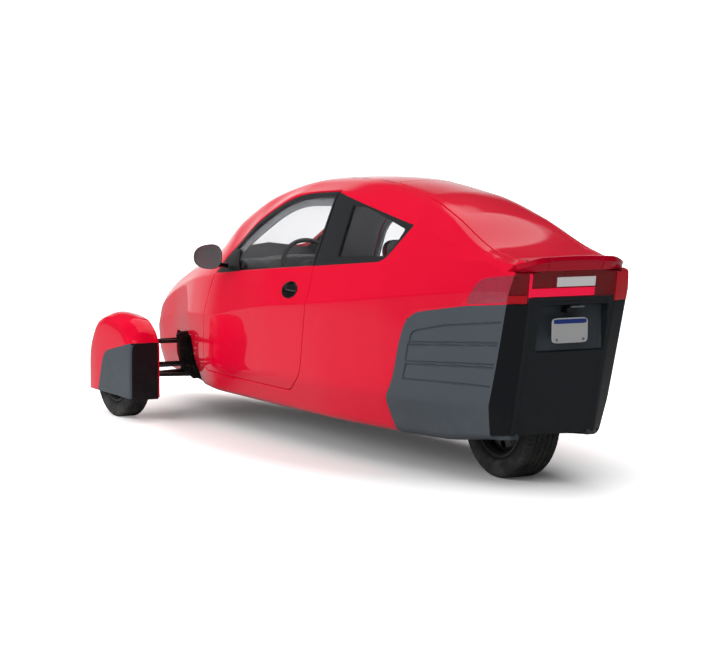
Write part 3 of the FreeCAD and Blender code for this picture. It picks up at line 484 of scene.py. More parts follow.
# %% [markdown]
# ## Finishes
# Painted body panels are a coloured base under a hard clear coat. The tail's
# cladding and the flaps are moulded plastic that is coloured through, so they
# have no coat but a fine pressed grain. A grain, a faint cloudiness and dust are
# used by many finishes here, so each is built once as a node group.

# %% Building blocks for node trees
def group(name, inputs, outputs):
    """An empty shader node group with named float or colour sockets."""
    made = bpy.data.node_groups.new(name, "ShaderNodeTree")
    for label, kind, value in inputs:
        socket = made.interface.new_socket(name=label, in_out="INPUT", socket_type="NodeSocket" + kind)
        socket.default_value = value
    for label, kind in outputs:
        made.interface.new_socket(name=label, in_out="OUTPUT", socket_type="NodeSocket" + kind)
    return made, made.nodes.new("NodeGroupInput"), made.nodes.new("NodeGroupOutput")


def node(tree, kind, inputs=(), **settings):
    """A node with settings by name; each of inputs is a socket and what goes in, a node's output or a value."""
    made = tree.nodes.new("ShaderNode" + kind)
    for name, value in settings.items():
        if hasattr(made, name):
            setattr(made, name, value)
        else:
            made.inputs[name.replace("_", " ")].default_value = value
    for place, source in inputs:
        if isinstance(source, bpy.types.NodeSocket):
            tree.links.new(source, made.inputs[place])
        else:
            made.inputs[place].default_value = source
    return made


# %% Sums, mixes and noise in a tree
def sum_up(tree, operation, *terms, clamp=False):
    """The output of a Math node over terms that are outputs or numbers."""
    return node(tree, "Math", enumerate(terms), operation=operation, use_clamp=clamp).outputs[0]


def mixed(tree, share, first, second):
    """A colour between two others, each an output or a colour."""
    return node(tree, "Mix", ((0, share), (6, first), (7, second)), data_type="RGBA").outputs[2]


def noise(tree, scale, detail, **settings):
    """Noise on Object coordinates; scale is an output or a number."""
    place = node(tree, "TexCoord").outputs["Object"]
    made = node(tree, "TexNoise", (("Vector", place), ("Scale", scale)), Detail=detail, **settings)
    return made.outputs["Fac"]

# %% Grain: a fine pressed texture and its uneven gloss
GRAIN, start, end = group("moulded grain",
                          (("Scale", "Float", 900.), ("Roughness", "Float", .5), ("Uneven", "Float", .1)),
                          (("Roughness", "Float"), ("Height", "Float")))
swing = sum_up(GRAIN, "MULTIPLY", sum_up(GRAIN, "SUBTRACT", noise(GRAIN, 4., 4.), .5), start.outputs["Uneven"])
gloss = sum_up(GRAIN, "ADD", swing, start.outputs["Roughness"], clamp=True)
GRAIN.links.new(gloss, end.inputs["Roughness"])
GRAIN.links.new(noise(GRAIN, start.outputs["Scale"], 3.), end.inputs["Height"])

# %% Dust: more of it low down on the car
DUST, start, end = group("road dust", (("Top", "Float", .5), ("Amount", "Float", .2)), (("Mask", "Float"),))
split = node(DUST, "SeparateXYZ", ((0, node(DUST, "TexCoord").outputs["Object"]),))
fall = node(DUST, "MapRange", (("Value", split.outputs["Z"]), ("From Max", start.outputs["Top"])),
            From_Min=0., To_Min=1., To_Max=0.)
thin = node(DUST, "MapRange", (("Value", noise(DUST, 14., 6., Roughness=.65)),), From_Min=.4, From_Max=.75)
both = sum_up(DUST, "MULTIPLY", fall.outputs[0], thin.outputs[0])
DUST.links.new(sum_up(DUST, "MULTIPLY", both, start.outputs["Amount"], clamp=True), end.inputs["Mask"])

# %% Cloudiness: one colour that drifts a little towards another
DRIFT, start, end = group("colour drift",
                          (("Colour", "Color", (1, 0, 0, 1)), ("Towards", "Color", (0, 0, 0, 1)),
                           ("Scale", "Float", 3.), ("Amount", "Float", .3)), (("Colour", "Color"),))
cloud = noise(DRIFT, start.outputs["Scale"], 5.)
share = sum_up(DRIFT, "MULTIPLY", cloud, start.outputs["Amount"], clamp=True)
DRIFT.links.new(mixed(DRIFT, share, start.outputs["Colour"], start.outputs["Towards"]), end.inputs["Colour"])
print("node groups:", [item.name for item in bpy.data.node_groups])


# %% Groups, colours and sockets
def placed(tree, source, **values):
    """A group node in a material with its inputs set."""
    made = tree.nodes.new("ShaderNodeGroup")
    made.node_tree = source
    for name, value in values.items():
        made.inputs[name].default_value = value
    return made


def colour(text):
    """Linear colour from a hex text."""
    share = np.array([int(text[k:k + 2], 16) for k in (0, 2, 4)]) / 255
    linear = np.where(share <= .04045, share / 12.92, ((share + .055) / 1.055) ** 2.4)
    return (*[float(value) for value in linear], 1.)


def set_sockets(shader, sockets):
    """Sets a shader's sockets by names with _ for a space."""
    for label, value in sockets.items():
        shader.inputs[label.replace("_", " ")].default_value = value


# %% A finish
def fresh(name):
    """A new material, its node tree and its shader."""
    material = bpy.data.materials.new(name)
    material.use_nodes = True
    return material, material.node_tree, material.node_tree.nodes["Principled BSDF"]


DUST_COLOUR = "8c857b"


def finish(name, base, towards, rough, grain=900., bump=.05, uneven=.12, drift=.4, dust=0., dust_top=.5,
           **sockets):
    """A material: drifting colour, dust low down, grain in gloss and bump, and fixed sockets on its shader."""
    material, tree, shader = fresh(name)
    cloudy = placed(tree, DRIFT, Colour=colour(base), Towards=colour(towards), Scale=5., Amount=drift)
    last = cloudy.outputs["Colour"]
    if dust:
        film = placed(tree, DUST, Top=dust_top, Amount=dust)
        last = mixed(tree, film.outputs["Mask"], last, colour(DUST_COLOUR))
    tree.links.new(last, shader.inputs["Base Color"])
    press = placed(tree, GRAIN, Scale=grain, Roughness=rough, Uneven=uneven)
    tree.links.new(press.outputs["Roughness"], shader.inputs["Roughness"])
    relief = node(tree, "Bump", (("Height", press.outputs["Height"]),), Strength=bump, Distance=.0004)
    tree.links.new(relief.outputs[0], shader.inputs["Normal"])
    set_sockets(shader, sockets)
    return material


# %% Finishes
RED = finish("red paint", "f00032", "dc0029", .32, 700, .015, .04, .35, Coat_Weight=1., Coat_Roughness=.03,
             Coat_IOR=1.33, IOR=1.2, Specular_IOR_Level=.2)
LINING = finish("lining", "8e9094", "808286", .75, 1200, .2)
CLAD = finish("tail cladding", "50585f", "444b52", .46, 1500, .12, dust=.2, dust_top=.45, Specular_IOR_Level=.3)
# Painted shade: the cladding's grey plastic made darker for the rear panel and the plate's carrier, which face
# the rear.
REAR_PANEL_PAINTED_SHADE = finish("rear panel plastic with painted shade", "2d3237", "24282c", .42, 1500, .12, dust=.15, dust_top=.4,
                   Specular_IOR_Level=.2)
# Painted shade: the same grey plastic made much darker for faces that look to the rear, the tail's bevels and the
# fairings' rear sheets.
REAR_FACING_PAINTED_SHADE = finish("rear-facing plastic with painted shade", "1c2025", "171a1e", .42, 1500, .12, dust=.1, dust_top=.4,
                    Specular_IOR_Level=.2)
BLACK = finish("black plastic", "141517", "0e0f10", .38, 1500, .1)
GLOSS_BLACK = finish("black gloss", "17181a", "1c1d1f", .16, 900, .02, .05, .3, Coat_Weight=.6,
                     Coat_Roughness=.04)
TRIM = finish("window trim", "2c2e31", "232528", .4, 1800, .05)
INNER_TRIM = finish("inner window trim", "8a8c90", "7e8084", .5, 1800, .05)
FRAME_BLACK = finish("frame coating", "0c0c0d", "1a1a1b", .5, 500, .2, .2, .5, dust=.25)
STEEL = finish("bright steel", "a8a9ab", "8e8f91", .34, 400, .1, .2, .5, Metallic=1.)
ALLOY = finish("cast alloy", "8b8d90", "6d6f72", .5, 260, .35, .2, .6, Metallic=1.)
RIM = finish("rim paint", "54565a", "46484c", .4, 600, .06, .15, .4, dust=.3, dust_top=.6, Metallic=.8)
RUBBER = finish("tyre rubber", "28292b", "1d1e20", .72, 500, .25, .15, .6, dust=.3, dust_top=.5)
SPRING = finish("spring coating", "202124", "16171a", .35, 400, .1, .1, .4, dust=.15)
DASH_BLACK = finish("dash skin", "3a3b3e", "2d2e31", .62, 1400, .35)
SEAT_SHELL = finish("seat shell", "a8aaae", "989a9e", .5, 1500, .15)
LAMP_SHADE = finish("lamp bowl", "1a1b1d", "101113", .3, 600, .05)
print("finishes:", len(bpy.data.materials))


# %% Clear materials
def clear(name, tint, rough, ior):
    """A clear or tinted plastic or glass."""
    material, tree, shader = fresh(name)
    set_sockets(shader, {"Base Color": colour(tint), "Roughness": rough, "IOR": ior, "Transmission Weight": 1.})
    return material


# %% Glass and lamp finishes
GLASS = clear("window glass", "e8e8e9", 0., 1.12)
LENS_CLEAR = clear("clear lens", "f0f0f2", .02, 1.25)
REFLECTOR = finish("lamp mirror", "d8d8da", "b8b8bc", .18, 300, .05, .1, .3, Metallic=1.)
# Painted glow: the red and deep red bodies and the reversing lens give off light though the lamps are not lit; it
# stands in for light falling on them.
LAMP_RED_PAINTED_GLOW, LAMP_DEEP_PAINTED_GLOW, LAMP_DARK = (
    finish(name, base, towards, rough, 120, .1, .08, .5, Coat_Weight=.3, Coat_Roughness=.03,
           Specular_IOR_Level=.2, Emission_Color=colour(painted_glow), Emission_Strength=strength)
    for name, base, towards, rough, painted_glow, strength in (
        ("lamp red body with painted glow", "f2083c", "dc0428", .2, "ff0c48", .5),
        ("lamp deep red body with painted glow", "b80418", "a00312", .2, "e0041c", .2),
        ("lamp dark body", "8c0210", "70020c", .25, "ffffff", 0.)))
REVERSE_PAINTED_GLOW = finish("reversing lens with painted glow", "f4f2f3", "e8e6e8", .25, 200, .1, .08, .4,
                 Emission_Color=colour("f4f2f3"), Emission_Strength=.15)
print("materials now:", len(bpy.data.materials))

# %% Woven seat cover
WEAVE, start, end = group("weave", (("Scale", "Float", 420.),), (("Height", "Float"), ("Mask", "Float")))
place = node(WEAVE, "TexCoord").outputs["Object"]
threads = [node(WEAVE, "TexWave", (("Vector", place), ("Scale", start.outputs["Scale"])), wave_type="BANDS",
                bands_direction=axis, Distortion=.6, Detail=1.).outputs["Fac"] for axis in ("X", "Y", "Z")]
crossed = sum_up(WEAVE, "ADD", sum_up(WEAVE, "MULTIPLY", threads[0], threads[1]), threads[2])
WEAVE.links.new(crossed, end.inputs["Height"])
WEAVE.links.new(noise(WEAVE, 60., 4.), end.inputs["Mask"])
SEAT_CLOTH, tree, shader = fresh("seat cloth")
set_sockets(shader, {"Roughness": .85, "Specular IOR Level": .2, "Sheen Weight": .25})
woven = placed(tree, WEAVE, Scale=420.)
cloth = mixed(tree, woven.outputs["Mask"], colour("a6a8ac"), colour("8e9094"))
tree.links.new(cloth, shader.inputs["Base Color"])
relief = node(tree, "Bump", (("Height", woven.outputs["Height"]),), Strength=.25, Distance=.0006)
tree.links.new(relief.outputs[0], shader.inputs["Normal"])
print("seat cloth:", len(tree.nodes), "nodes")

# %% [markdown]
# ## Camera, floor and light
# The car is seen from behind on its left with a long lens, so the lines hardly
# converge. A pale room lights it: a bright sky all round, a soft lamp above and one
# on the left, and a floor that keeps the car's shadow and adds painted shadow,
# its glow dimmed in an oval under the car.

# %% Camera
YAW, PITCH, ROLL = (math.radians(angle) for angle in (29.09, 5.31, .38))
AIM = np.array((math.cos(YAW) * math.cos(PITCH), -math.sin(YAW) * math.cos(PITCH), -math.sin(PITCH)))
ACROSS = np.cross(AIM, (0, 0, 1))
ACROSS /= np.linalg.norm(ACROSS)
UP = np.cross(ACROSS, AIM)
ACROSS, UP = ACROSS * math.cos(ROLL) + UP * math.sin(ROLL), UP * math.cos(ROLL) - ACROSS * math.sin(ROLL)
lens = bpy.data.cameras.new("camera")
lens.lens = 118.46
lens.sensor_width = 36
lens.sensor_fit = "HORIZONTAL"
lens.clip_end = 200
camera = bpy.data.objects.new("camera", lens)
scene = bpy.context.scene
scene.collection.objects.link(camera)
turn = Matrix((ACROSS, UP, -AIM)).transposed().to_4x4()
camera.matrix_world = Matrix.Translation((REAR - 9.1908, 5.9384, 1.7234)) @ turn
scene.camera = camera
print("camera at", [round(value, 3) for value in camera.location])

# %% Rays and brightness
WHITE = (1, 1, 1, 1)


def toward(tree, direction, low, high, dim, bright):
    """A brightness that rises from dim to bright as the view turns towards a direction."""
    view = node(tree, "TexCoord").outputs["Generated"]
    turned = node(tree, "VectorMath", ((0, view), (1, direction)), operation="DOT_PRODUCT")
    return node(tree, "MapRange", (("Value", turned.outputs["Value"]),), From_Min=low, From_Max=high,
                To_Min=dim, To_Max=bright).outputs[0]


def ray(tree, kind):
    """1 for rays of a kind and 0 for others."""
    return node(tree, "LightPath").outputs["Is %s Ray" % kind]


def seen_rays(tree):
    """1 for rays from the camera, straight or through glass."""
    return sum_up(tree, "MAXIMUM", ray(tree, "Camera"), ray(tree, "Transmission"))


def background(tree, strength):
    """A white background of a brightness."""
    return node(tree, "Background", (("Color", WHITE), ("Strength", strength))).outputs[0]


def blend(tree, share, first, second):
    """A mix of two shaders."""
    return node(tree, "MixShader", ((0, share), (1, first), (2, second))).outputs[0]

# %% Room
scene.view_settings.view_transform = "Standard"
world = bpy.data.worlds.new("room")
scene.world = world
world.use_nodes = True
tree = world.node_tree
tree.nodes.clear()
sky = background(tree, toward(tree, (.35, .72, .6), -.15, .9, .0, 1.36))
ahead = toward(tree, (.93, -.3, -.1), .82, .97, .03, 1.)
above = toward(tree, (.22, -.5, 1), .965, .99, 0, 1.15)
mirrored = background(tree, sum_up(tree, "MAXIMUM", ahead, above))
glossy = blend(tree, ray(tree, "Glossy"), sky, mirrored)
node(tree, "OutputWorld", ((0, blend(tree, seen_rays(tree), glossy, background(tree, 1.))),))
print("room:", len(tree.nodes), "nodes")


# %% Lamps
def soft_lamp(name, place, aim, size, power):
    """A rectangular lamp of a width and height that faces a point."""
    lamp = bpy.data.lights.new(name, "AREA")
    lamp.shape = "RECTANGLE"
    lamp.size, lamp.size_y = size
    lamp.energy = power
    thing = bpy.data.objects.new(name, lamp)
    thing.visible_glossy = False
    scene.collection.objects.link(thing)
    back = np.array(place, float) - np.array(aim, float)
    back /= np.linalg.norm(back)
    right = np.cross((0, 1, 0) if abs(back[2]) > .9 else (0, 0, 1), back)
    right /= np.linalg.norm(right)
    turn = Matrix((right, np.cross(back, right), back)).transposed().to_4x4()
    thing.matrix_world = Matrix.Translation(place) @ turn


soft_lamp("lamp_above", (.9, -1.7, 4.0), (-1.2, 0, 1.1), (3.2, 1.5), 90)
soft_lamp("lamp_left", (1.5, 6.0, 2.6), (0, 0, .6), (5, 1.6), 110)
print("lamps:", len(bpy.data.lights))

# %% Floor
FAR = 60
corners = np.array(((-FAR, -FAR, 0), (FAR, -FAR, 0), (FAR, FAR, 0), (-FAR, FAR, 0)))
floor = shape("floor", corners, np.array(((0, 1, 2, 3),)))
pale, tree, shader = fresh("pale floor")
set_sockets(shader, {"Roughness": .6, "Specular IOR Level": 0, "Emission Color": WHITE})
seen = seen_rays(tree)
share = sum_up(tree, "ADD", seen, sum_up(tree, "MULTIPLY", ray(tree, "Glossy"), .05), clamp=True)
tree.links.new(mixed(tree, share, (.4, .4, .4, 1), (.97, .97, .97, 1)), shader.inputs["Base Color"])
# Painted shadow: the floor's glow falls to almost nothing in an oval under the car, so that patch stays dark
# under any light.
spot = node(tree, "TexCoord").outputs["Object"]
oval = node(tree, "VectorMath", ((0, spot), (1, (.45, .9, 0))), operation="MULTIPLY")
away = node(tree, "VectorMath", ((0, oval.outputs[0]),), operation="LENGTH")
glow_beyond_painted_shadow = node(tree, "MapRange", (("Value", away.outputs["Value"]),), From_Min=.7, From_Max=1.25, To_Min=.04,
           To_Max=.75)
tree.links.new(sum_up(tree, "MULTIPLY", seen, glow_beyond_painted_shadow.outputs[0]), shader.inputs["Emission Strength"])
floor.data.materials.append(pale)
print("floor:", 2 * FAR, "m across")

# %% [markdown]
# ## Body panels
# Each panel is a patch of the form cut to its outline. Its edges roll inwards by a
# few millimetres, as pressed sheet does round a flange, and it gets an inner skin.
# Two such edges beside each other give the dark line of a panel gap.

# %% Limits of the body's panels
def sill(points):
    """Line under the door's window: below it the door is painted, above it is a black frame."""
    return .932 - (points[:, 0] - REAR - 1.112) * .0935 - points[:, 2]


def above_sill(points):
    """Reach above that line."""
    return -sill(points)


def behind_nose(points):
    """Reach behind the nose panel's seam."""
    return REAR + 3.264 - points[:, 0]


def inside_skin(points):
    """Reach inside the body's skin."""
    return side(points[:, 0], points[:, 2]) - np.abs(points[:, 1])


def below_roof(points):
    """Reach below the roof: the section's height over half width, falling along each run past its corner."""
    row = smooth_through(points[:, 0], STATIONS[:, 0], STATIONS[:, 1:])
    y = np.abs(points[:, 1])
    fall, slope, inner = 0, 0, 0 * y
    for at, lower, higher, width in ((10, 11, 12, .1), (8, 9, 11, .03), (6, 7, 9, .008)):
        steeper = (row[:, higher] - row[:, lower]) / (row[:, at] - inner)
        fall = fall + (steeper - slope) * soft(y - inner, width)
        slope, inner = steeper, row[:, at]
    return row[:, 12] - fall - points[:, 2]


# %% Patches of the tail's face
def tail_face(across, up, cuts=(), step=.012, limit=inside_skin):
    """A patch of the tail's face between two half widths and two heights, inside a limit."""
    y, z = (np.linspace(*span, int((span[1] - span[0]) / step) + 2) for span in (across, up))
    wide, high = np.meshgrid(y, z, indexing="ij")
    return merged(*cut(flipped(laid(xyz(tail(wide, high), wide, high))), limit, *cuts))


def lip(*across):
    """A part of the lip over the tail between two half widths."""
    return solid(tail_face(across, (1.001, 1.075), limit=below_roof), depth=.02, roll=.0005)

# %% Body shell
PAINTED = (RED, LINING)
FRAMED = (TRIM, LINING)
FINE = (.012, 20)   # step along the car and points from corner to corner of a smaller panel
BODY_EDGE = -.002   # the body ends 2 mm inside the outline of a door or lid, before its edge rolls over
LID_EDGE = -.012    # the door or lid starts 12 mm inside its outline, before its edge rolls over
shell = skin(-.53, 3.29, -6, 6, cuts=(
    before_tail, outside_of(DOOR, grow=BODY_EDGE, hand=1), outside_of(RIGHT_WINDOW, hand=-1), outside_of(QUARTER),
    outside_of(HATCH, "plan", BODY_EDGE), outside_of(SCREEN, "plan"), outside_of(BONNET, "plan", BODY_EDGE),
    outside_of(CLADDING), outside_of(LAMPS), outside_of(ARM_PORT), outside_of(HEADLAMPS), behind_nose))
shell = together(solid(shell, plain=before_tail), lip(.147, .33), lip(-.33, -.147))
piece("body_skin", "car", shell, PAINTED, "red_paint", "body_shell")

# %% Nose, lids
nose = skin(3.268, 3.547, -6.6, 6.6, .012, cuts=(outside_of(BONNET, "plan", BODY_EDGE), outside_of(HEADLAMPS)))
piece("nose_skin", "car", solid(nose, roll=.002), PAINTED, "red_paint", "nose_panel")
lid = skin(-.53, .85, -3, 3, *FINE, (before_tail, inside_of(HATCH, "plan", LID_EDGE)))
lid = together(solid(lid, depth=.02, plain=before_tail), lip(-.143, .143))
piece("hatch_skin", "hatch", lid, PAINTED, "red_paint", "hatch_panel")
seams = []
for hand in (1, -1):
    line = outline([(x, hand * y) for x, y in ((800, 163), (1330, 145), (1330, 150), (800, 168))], 0)
    seam = skin(.79, 1.35, -2, 2, .02, 20, (inside_of(line, "plan"),))
    seams.append(solid(moved(seam, .0008), depth=.002, roll=.0002))
piece("roof_seams", "car", together(*seams), BLACK, "black_plastic")
lid = skin(2.6, 3.3, -3, 3, *FINE, (inside_of(BONNET, "plan", -.014),))
piece("bonnet_skin", "bonnet", solid(lid, depth=.016), PAINTED, "red_paint", "bonnet_panel")

# %% Door
DISH = middle("door_handle")[[0, 2]]
DISH_STRETCH = 1.95     # the handle's dish is this much longer than it is high
IN_DOOR = inside_of(DOOR, grow=LID_EDGE, hand=1)


def outside_dish(points):
    """Reach outside the handle's oval dish."""
    return np.hypot((points[:, 0] - DISH[0]) / DISH_STRETCH, points[:, 2] - DISH[1]) - .0405


def pane(low, high, round_low, round_high, cuts, hand=1):
    """A pane 5 mm thick that follows the skin, 4 mm under it."""
    return solid(moved(skin(low, high, round_low, round_high, .016, 14, cuts, hand), -.004), .005, .0005)


door = skin(1.0, 2.35, 2, 6, *FINE, (IN_DOOR, sill, outside_dish))
piece("door_skin", "door", solid(door), PAINTED, "red_paint", "door_panel")
band = skin(1.0, 2.35, 1, 4, *FINE, (IN_DOOR, above_sill, outside_of(DOOR_CLEAR)))
piece("door_frame", "door", solid(band, depth=.026, roll=.002), FRAMED, "black_plastic")
glass = pane(1.0, 2.2, 1, 4, (inside_of(DOOR_CLEAR, grow=.008, hand=1),))
piece("door_pane", "door", glass, GLASS, "glass", "door_glass")
band = skin(1.0, 2.2, 1, 4, *FINE, (inside_of(DOOR_CLEAR, grow=.01, hand=1), outside_of(DOOR_OPEN)))
piece("door_inner_band", "door", solid(moved(band, -.02), .006, .001), INNER_TRIM, "black_plastic")
SAIL = outline(((2230, 826), (1930, 853), (2012, 962), (2110, 962)), (8, 12, 12, 10))
sail = (inside_of(SAIL, hand=1), inside_of(DOOR, grow=-.014, hand=1), above_sill)
sail = skin(1.9, 2.3, 1, 4, .012, 24, sail)
piece("mirror_sail", "door", solid(moved(sail, .002), .006, .002), BLACK, "black_plastic")

# %% Fixed windows
glass = pane(1.0, 2.2, 1, 4, (inside_of(RIGHT_CLEAR, grow=.008, hand=-1),), -1)
piece("right_pane", "car", glass, GLASS, "glass", "right_side_glass")
band = skin(1.0, 2.2, -4, -1, *FINE, (inside_of(RIGHT_WINDOW, grow=-.003, hand=-1), outside_of(RIGHT_CLEAR)))
piece("right_window_band", "car", solid(band, depth=.02, roll=.001), FRAMED, "black_plastic")
bands, panes = [], []
for hand, ahead in ((1, DOOR), (-1, RIGHT_WINDOW)):
    band = (inside_of(QUARTER, grow=-.003, hand=hand), outside_of(ahead, grow=.001, hand=hand),
            outside_of(QUARTER_CLEAR))
    band = skin(.3, 1.1, 1, 4, .01, 24, band, hand)
    bands.append(solid(band, depth=.02, roll=.001))
    panes.append(pane(.3, 1.1, 1, 4, (inside_of(QUARTER_CLEAR, grow=.008, hand=hand),), hand))
piece("quarter_bands", "car", together(*bands), FRAMED, "black_plastic")
piece("quarter_panes", "car", together(*panes), GLASS, "glass", "quarter_glasses")
glass = pane(1.44, 2.6, -3, 3, (inside_of(SCREEN, "plan", -.002),))
piece("screen_pane", "car", glass, GLASS, "glass", "windscreen")

# %% [markdown]
# ## Tail
# The cladding's sides carry louvre lines with a short upright tick at each front
# end, and the rear panel has a raised border and a sunk bay for the plate. Both
# are reliefs: a depth from the distance to a drawn line is added to a fine grid,
# which keeps the moulded edges soft.

# %% Reliefs
def valley(value, half, edge):
    """1 within half of a line, falling to 0 over edge by a smooth step."""
    t = np.clip((half + edge - value) / edge, 0, 1)
    return t * t * (3 - 2 * t)


# Louvre lines in side view, x from the rear axle and height; the first of each pair starts with its tick
LOUVRES = (((201, 636), (197, 662), (182, 681), (150, 692), (-34, 728), (-415, 770)), ((208, 631), (-394, 676)),
           ((229, 546), (214, 618), (-392, 664)), ((226, 541), (-370, 576)),
           ((247, 463), (227, 528), (-366, 561)), ((244, 458), (-345, 473)))


def louvres(points):
    """Depth of the louvre grooves: 6 mm within 2 mm of a line."""
    away = np.min([distance(points[:, 0] - REAR, points[:, 2], np.array(line) / 1000, False)
                   for line in LOUVRES], axis=0)
    return .006 * valley(away, .002, .004) * np.clip((before_tail(points) - .008) / .01, 0, 1)


# %% Claddings
claddings = []
for hand in (1, -1):
    s = np.linspace(*sorted((2.8 * hand, 6.35 * hand)), 380)
    part = laid(form(np.linspace(REAR - .53, REAR + .42, 260), s))
    part = cut(part, before_tail, inside_of(CLADDING, grow=-.003, hand=hand))
    claddings.append(solid(moved(part, -louvres(part[0])), plain=before_tail))
    # The bevels take the third finish: the cladding's plastic darkened as painted shade.
    bevel = tail_face(sorted((.228 * hand, .34 * hand)), (.252, .852))
    points, faces, mark = solid(bevel, roll=.002, plain=inside_skin)
    claddings.append((points, faces, mark + 2))
piece("cladding_skins", "car", together(*claddings), (CLAD, LINING, REAR_FACING_PAINTED_SHADE, LINING), "grey_plastic",
      "rear_claddings")

# %% Rear panel
BAY = outline(((-209, 633), (153, 633), (154, 842), (-206, 842)), 10, 0)


def panel_relief(points):
    """How far the panel stands forward of its face: the bay's floor leans less, and the border is 6 mm high."""
    x, y, z = points.T
    field = np.minimum(.200 - np.abs(y), np.minimum(z - .2, .86 - z))
    sunk = np.interp(z, (.633, .842), (.008, .052)) * valley(-within(y, z, BAY), -.001, .003)
    return sunk + .006 * valley(-field, 0, .006)


points, faces = tail_face((-.226, .226), (.25, .878), step=.003)
points[:, 0] += panel_relief(points)
# Painted light and shade: the panel takes the darker grey as painted shade, and the bay's floor, which leans up,
# takes the lighter cladding grey as painted light.
bay_painted_lit = within(*points[faces][:, :, 1:].mean(1).T, BAY) > .004
panel = solid((points, faces), depth=.01, roll=.006)
panel[2][:len(bay_painted_lit)][bay_painted_lit] = 2
piece("rear_panel_skin", "car", panel, (REAR_PANEL_PAINTED_SHADE, LINING, CLAD), "grey_plastic", "rear_panel")


# %% Slabs that face the rear
def raised(value, power):
    """A value's size to a power, with its sign kept."""
    return np.sign(value) * np.abs(value) ** power


def rounded_ring(angle, wide, high, power=3.2):
    """Points on a rounded rectangle: the circle's sine and cosine raised to 2/power."""
    return wide * raised(np.cos(angle), 2 / power), high * raised(np.sin(angle), 2 / power)


def slab(name, across, up, back, front, material, slot, power=8., stands_for=()):
    """A rounded rectangle that faces the rear, its edge rolled; back and front are x from the rear axle."""
    y, z = rounded_ring(np.linspace(0, 2 * np.pi, 129), np.ptp(across) / 2, np.ptp(up) / 2, power)
    bend = min(.002, (front - back) / 2)
    rings = np.array(((0, 0, back), (.5, 0, back), (1, bend, back), (1, .3 * bend, back + bend * .7),
                      (1, 0, front)))
    scale = rings[:, :1] * (1 - rings[:, 1:2] / np.hypot(y, z))
    part = sheet(xyz(REAR + rings[:, 2:], sum(across) / 2 + scale * y, sum(up) / 2 + scale * z))
    piece(name, "car", faced(part, (-1, 0, 0)), material, slot, *stands_for)


# %% Plate and lamp of the bay
PLATE_WHITE = finish("plate white", "e2e3e4", "d2d4d6", .35, 500, .03, .06, .3)
PLATE_BLUE = finish("plate blue", "2342a0", "1c3684", .35, 500, .03, .06, .3)
slab("plate_face", (-.097, .097), (.673, .787), -.478, -.4745, PLATE_WHITE, "plate_white",
     stands_for=("number_plate",))
slab("plate_band", (-.088, .088), (.761, .781), -.4788, -.478, PLATE_BLUE, "plate_white")
for number, spot in enumerate((-.072, .072)):
    slab("plate_bolt_%d" % number, (spot - .006, spot + .006), (.683, .695), -.481, -.478, STEEL, "steel", 2.)
# The carrier takes the rear panel's darker grey, which is painted shade.
slab("plate_carrier", (-.060, .060), (.681, .779), -.4745, -.425, REAR_PANEL_PAINTED_SHADE, "grey_plastic")
slab("bay_lamp_block", (-.037, .014), (.806, .833), -.474, -.424, BLACK, "black_plastic", 5.)
slab("bay_lamp_chrome", (-.078, 0), (.831, .840), -.480, -.440, STEEL, "steel", 4.)

# %% [markdown]
# ## Lamps
# A tail lamp is a box of coloured bodies under a thin tinted lens. The lens is a
# film of red whose alpha lets the bodies show, which renders clean at few samples.

# %% Lamp bodies and lenses
def tinted(name, tint, alpha):
    """A thin coloured film under a clear coat."""
    return finish(name, tint, tint, .04, 200, .01, .01, .1, Coat_Weight=1., Coat_Roughness=.02, Coat_IOR=1.45,
                  Alpha=alpha)


def over_cladding(points):
    """Reach above the rear panel in the middle and above the lower bevels beyond it."""
    return points[:, 2] - np.where(np.abs(points[:, 1]) < .228, .881, .855)


LENS_SIDE = tinted("side lens", "d84862", .42)
LENS_BACK = tinted("back lens", "c80018", .22)
FILM = {"depth": .003, "roll": .001}    # the size of a lens
lenses, backs = [], []
for hand in (1, -1):
    part = skin(-.53, -.05, 2.5, 5, .01, 40, (before_tail, inside_of(LAMPS, grow=-.002, hand=hand)), hand)
    lenses.append(solid(part, plain=before_tail, **FILM))
    part = skin(-.50, -.05, 2.5, 5, .01, 40, (before_tail, inside_of(LAMPS, grow=-.004, hand=hand)), hand)
    ribs = .018 + .008 * np.clip(4 * np.sin((part[0][:, 0] - REAR) / .10 * 2 * np.pi), -1, 1)
    backs.append(moved(part, -ribs))
piece("side_lenses", "car", together(*lenses), LENS_SIDE, "lamp_red", "tail_lamp_band")
piece("side_lamp_bodies", "car", together(*backs), LAMP_DARK, "lamp_red")
lens = tail_face((-.34, .34), (.85, 1.0), (over_cladding,), .006)
piece("back_lens", "car", solid(lens, plain=inside_skin, **FILM), LENS_BACK, "lamp_red")
points, faces = tail_face((-.33, .33), (.85, .998), (over_cladding,), .006)
piece("back_lamp_body", "car", (points + (.022, 0, 0), faces), LAMP_DARK, "lamp_red")

# %% Lamp bodies on the tail's face: how far each stands proud, and its finish
# Painted glow: each of these bodies gives off light, standing in for light on the unlit lamps; the narrow left
# column on the bevel's edge is a painted highlight.
for name, across, up, proud, material, slot in (
        ("reverse_lamp", (-.119, .085), (.930, .971), .003, REVERSE_PAINTED_GLOW, "lamp_clear"),
        ("bright_strip", (-.118, .215), (.887, .922), .002, LAMP_RED_PAINTED_GLOW, "lamp_red"),
        ("left_lamp_column", (.219, .231), (.884, .990), .002, LAMP_RED_PAINTED_GLOW, "lamp_red"),
        ("left_lamp_foot", (.238, .36), (.859, .892), .002, LAMP_DEEP_PAINTED_GLOW, "lamp_red"),
        ("right_lamp_block", (-.36, -.238), (.859, .988), .002, LAMP_DEEP_PAINTED_GLOW, "lamp_red")):
    points, faces, mark = solid(tail_face(across, up, step=.006), depth=.005, roll=.001, plain=inside_skin)
    piece(name, "car", (points - (proud, 0, 0), faces), material, slot)

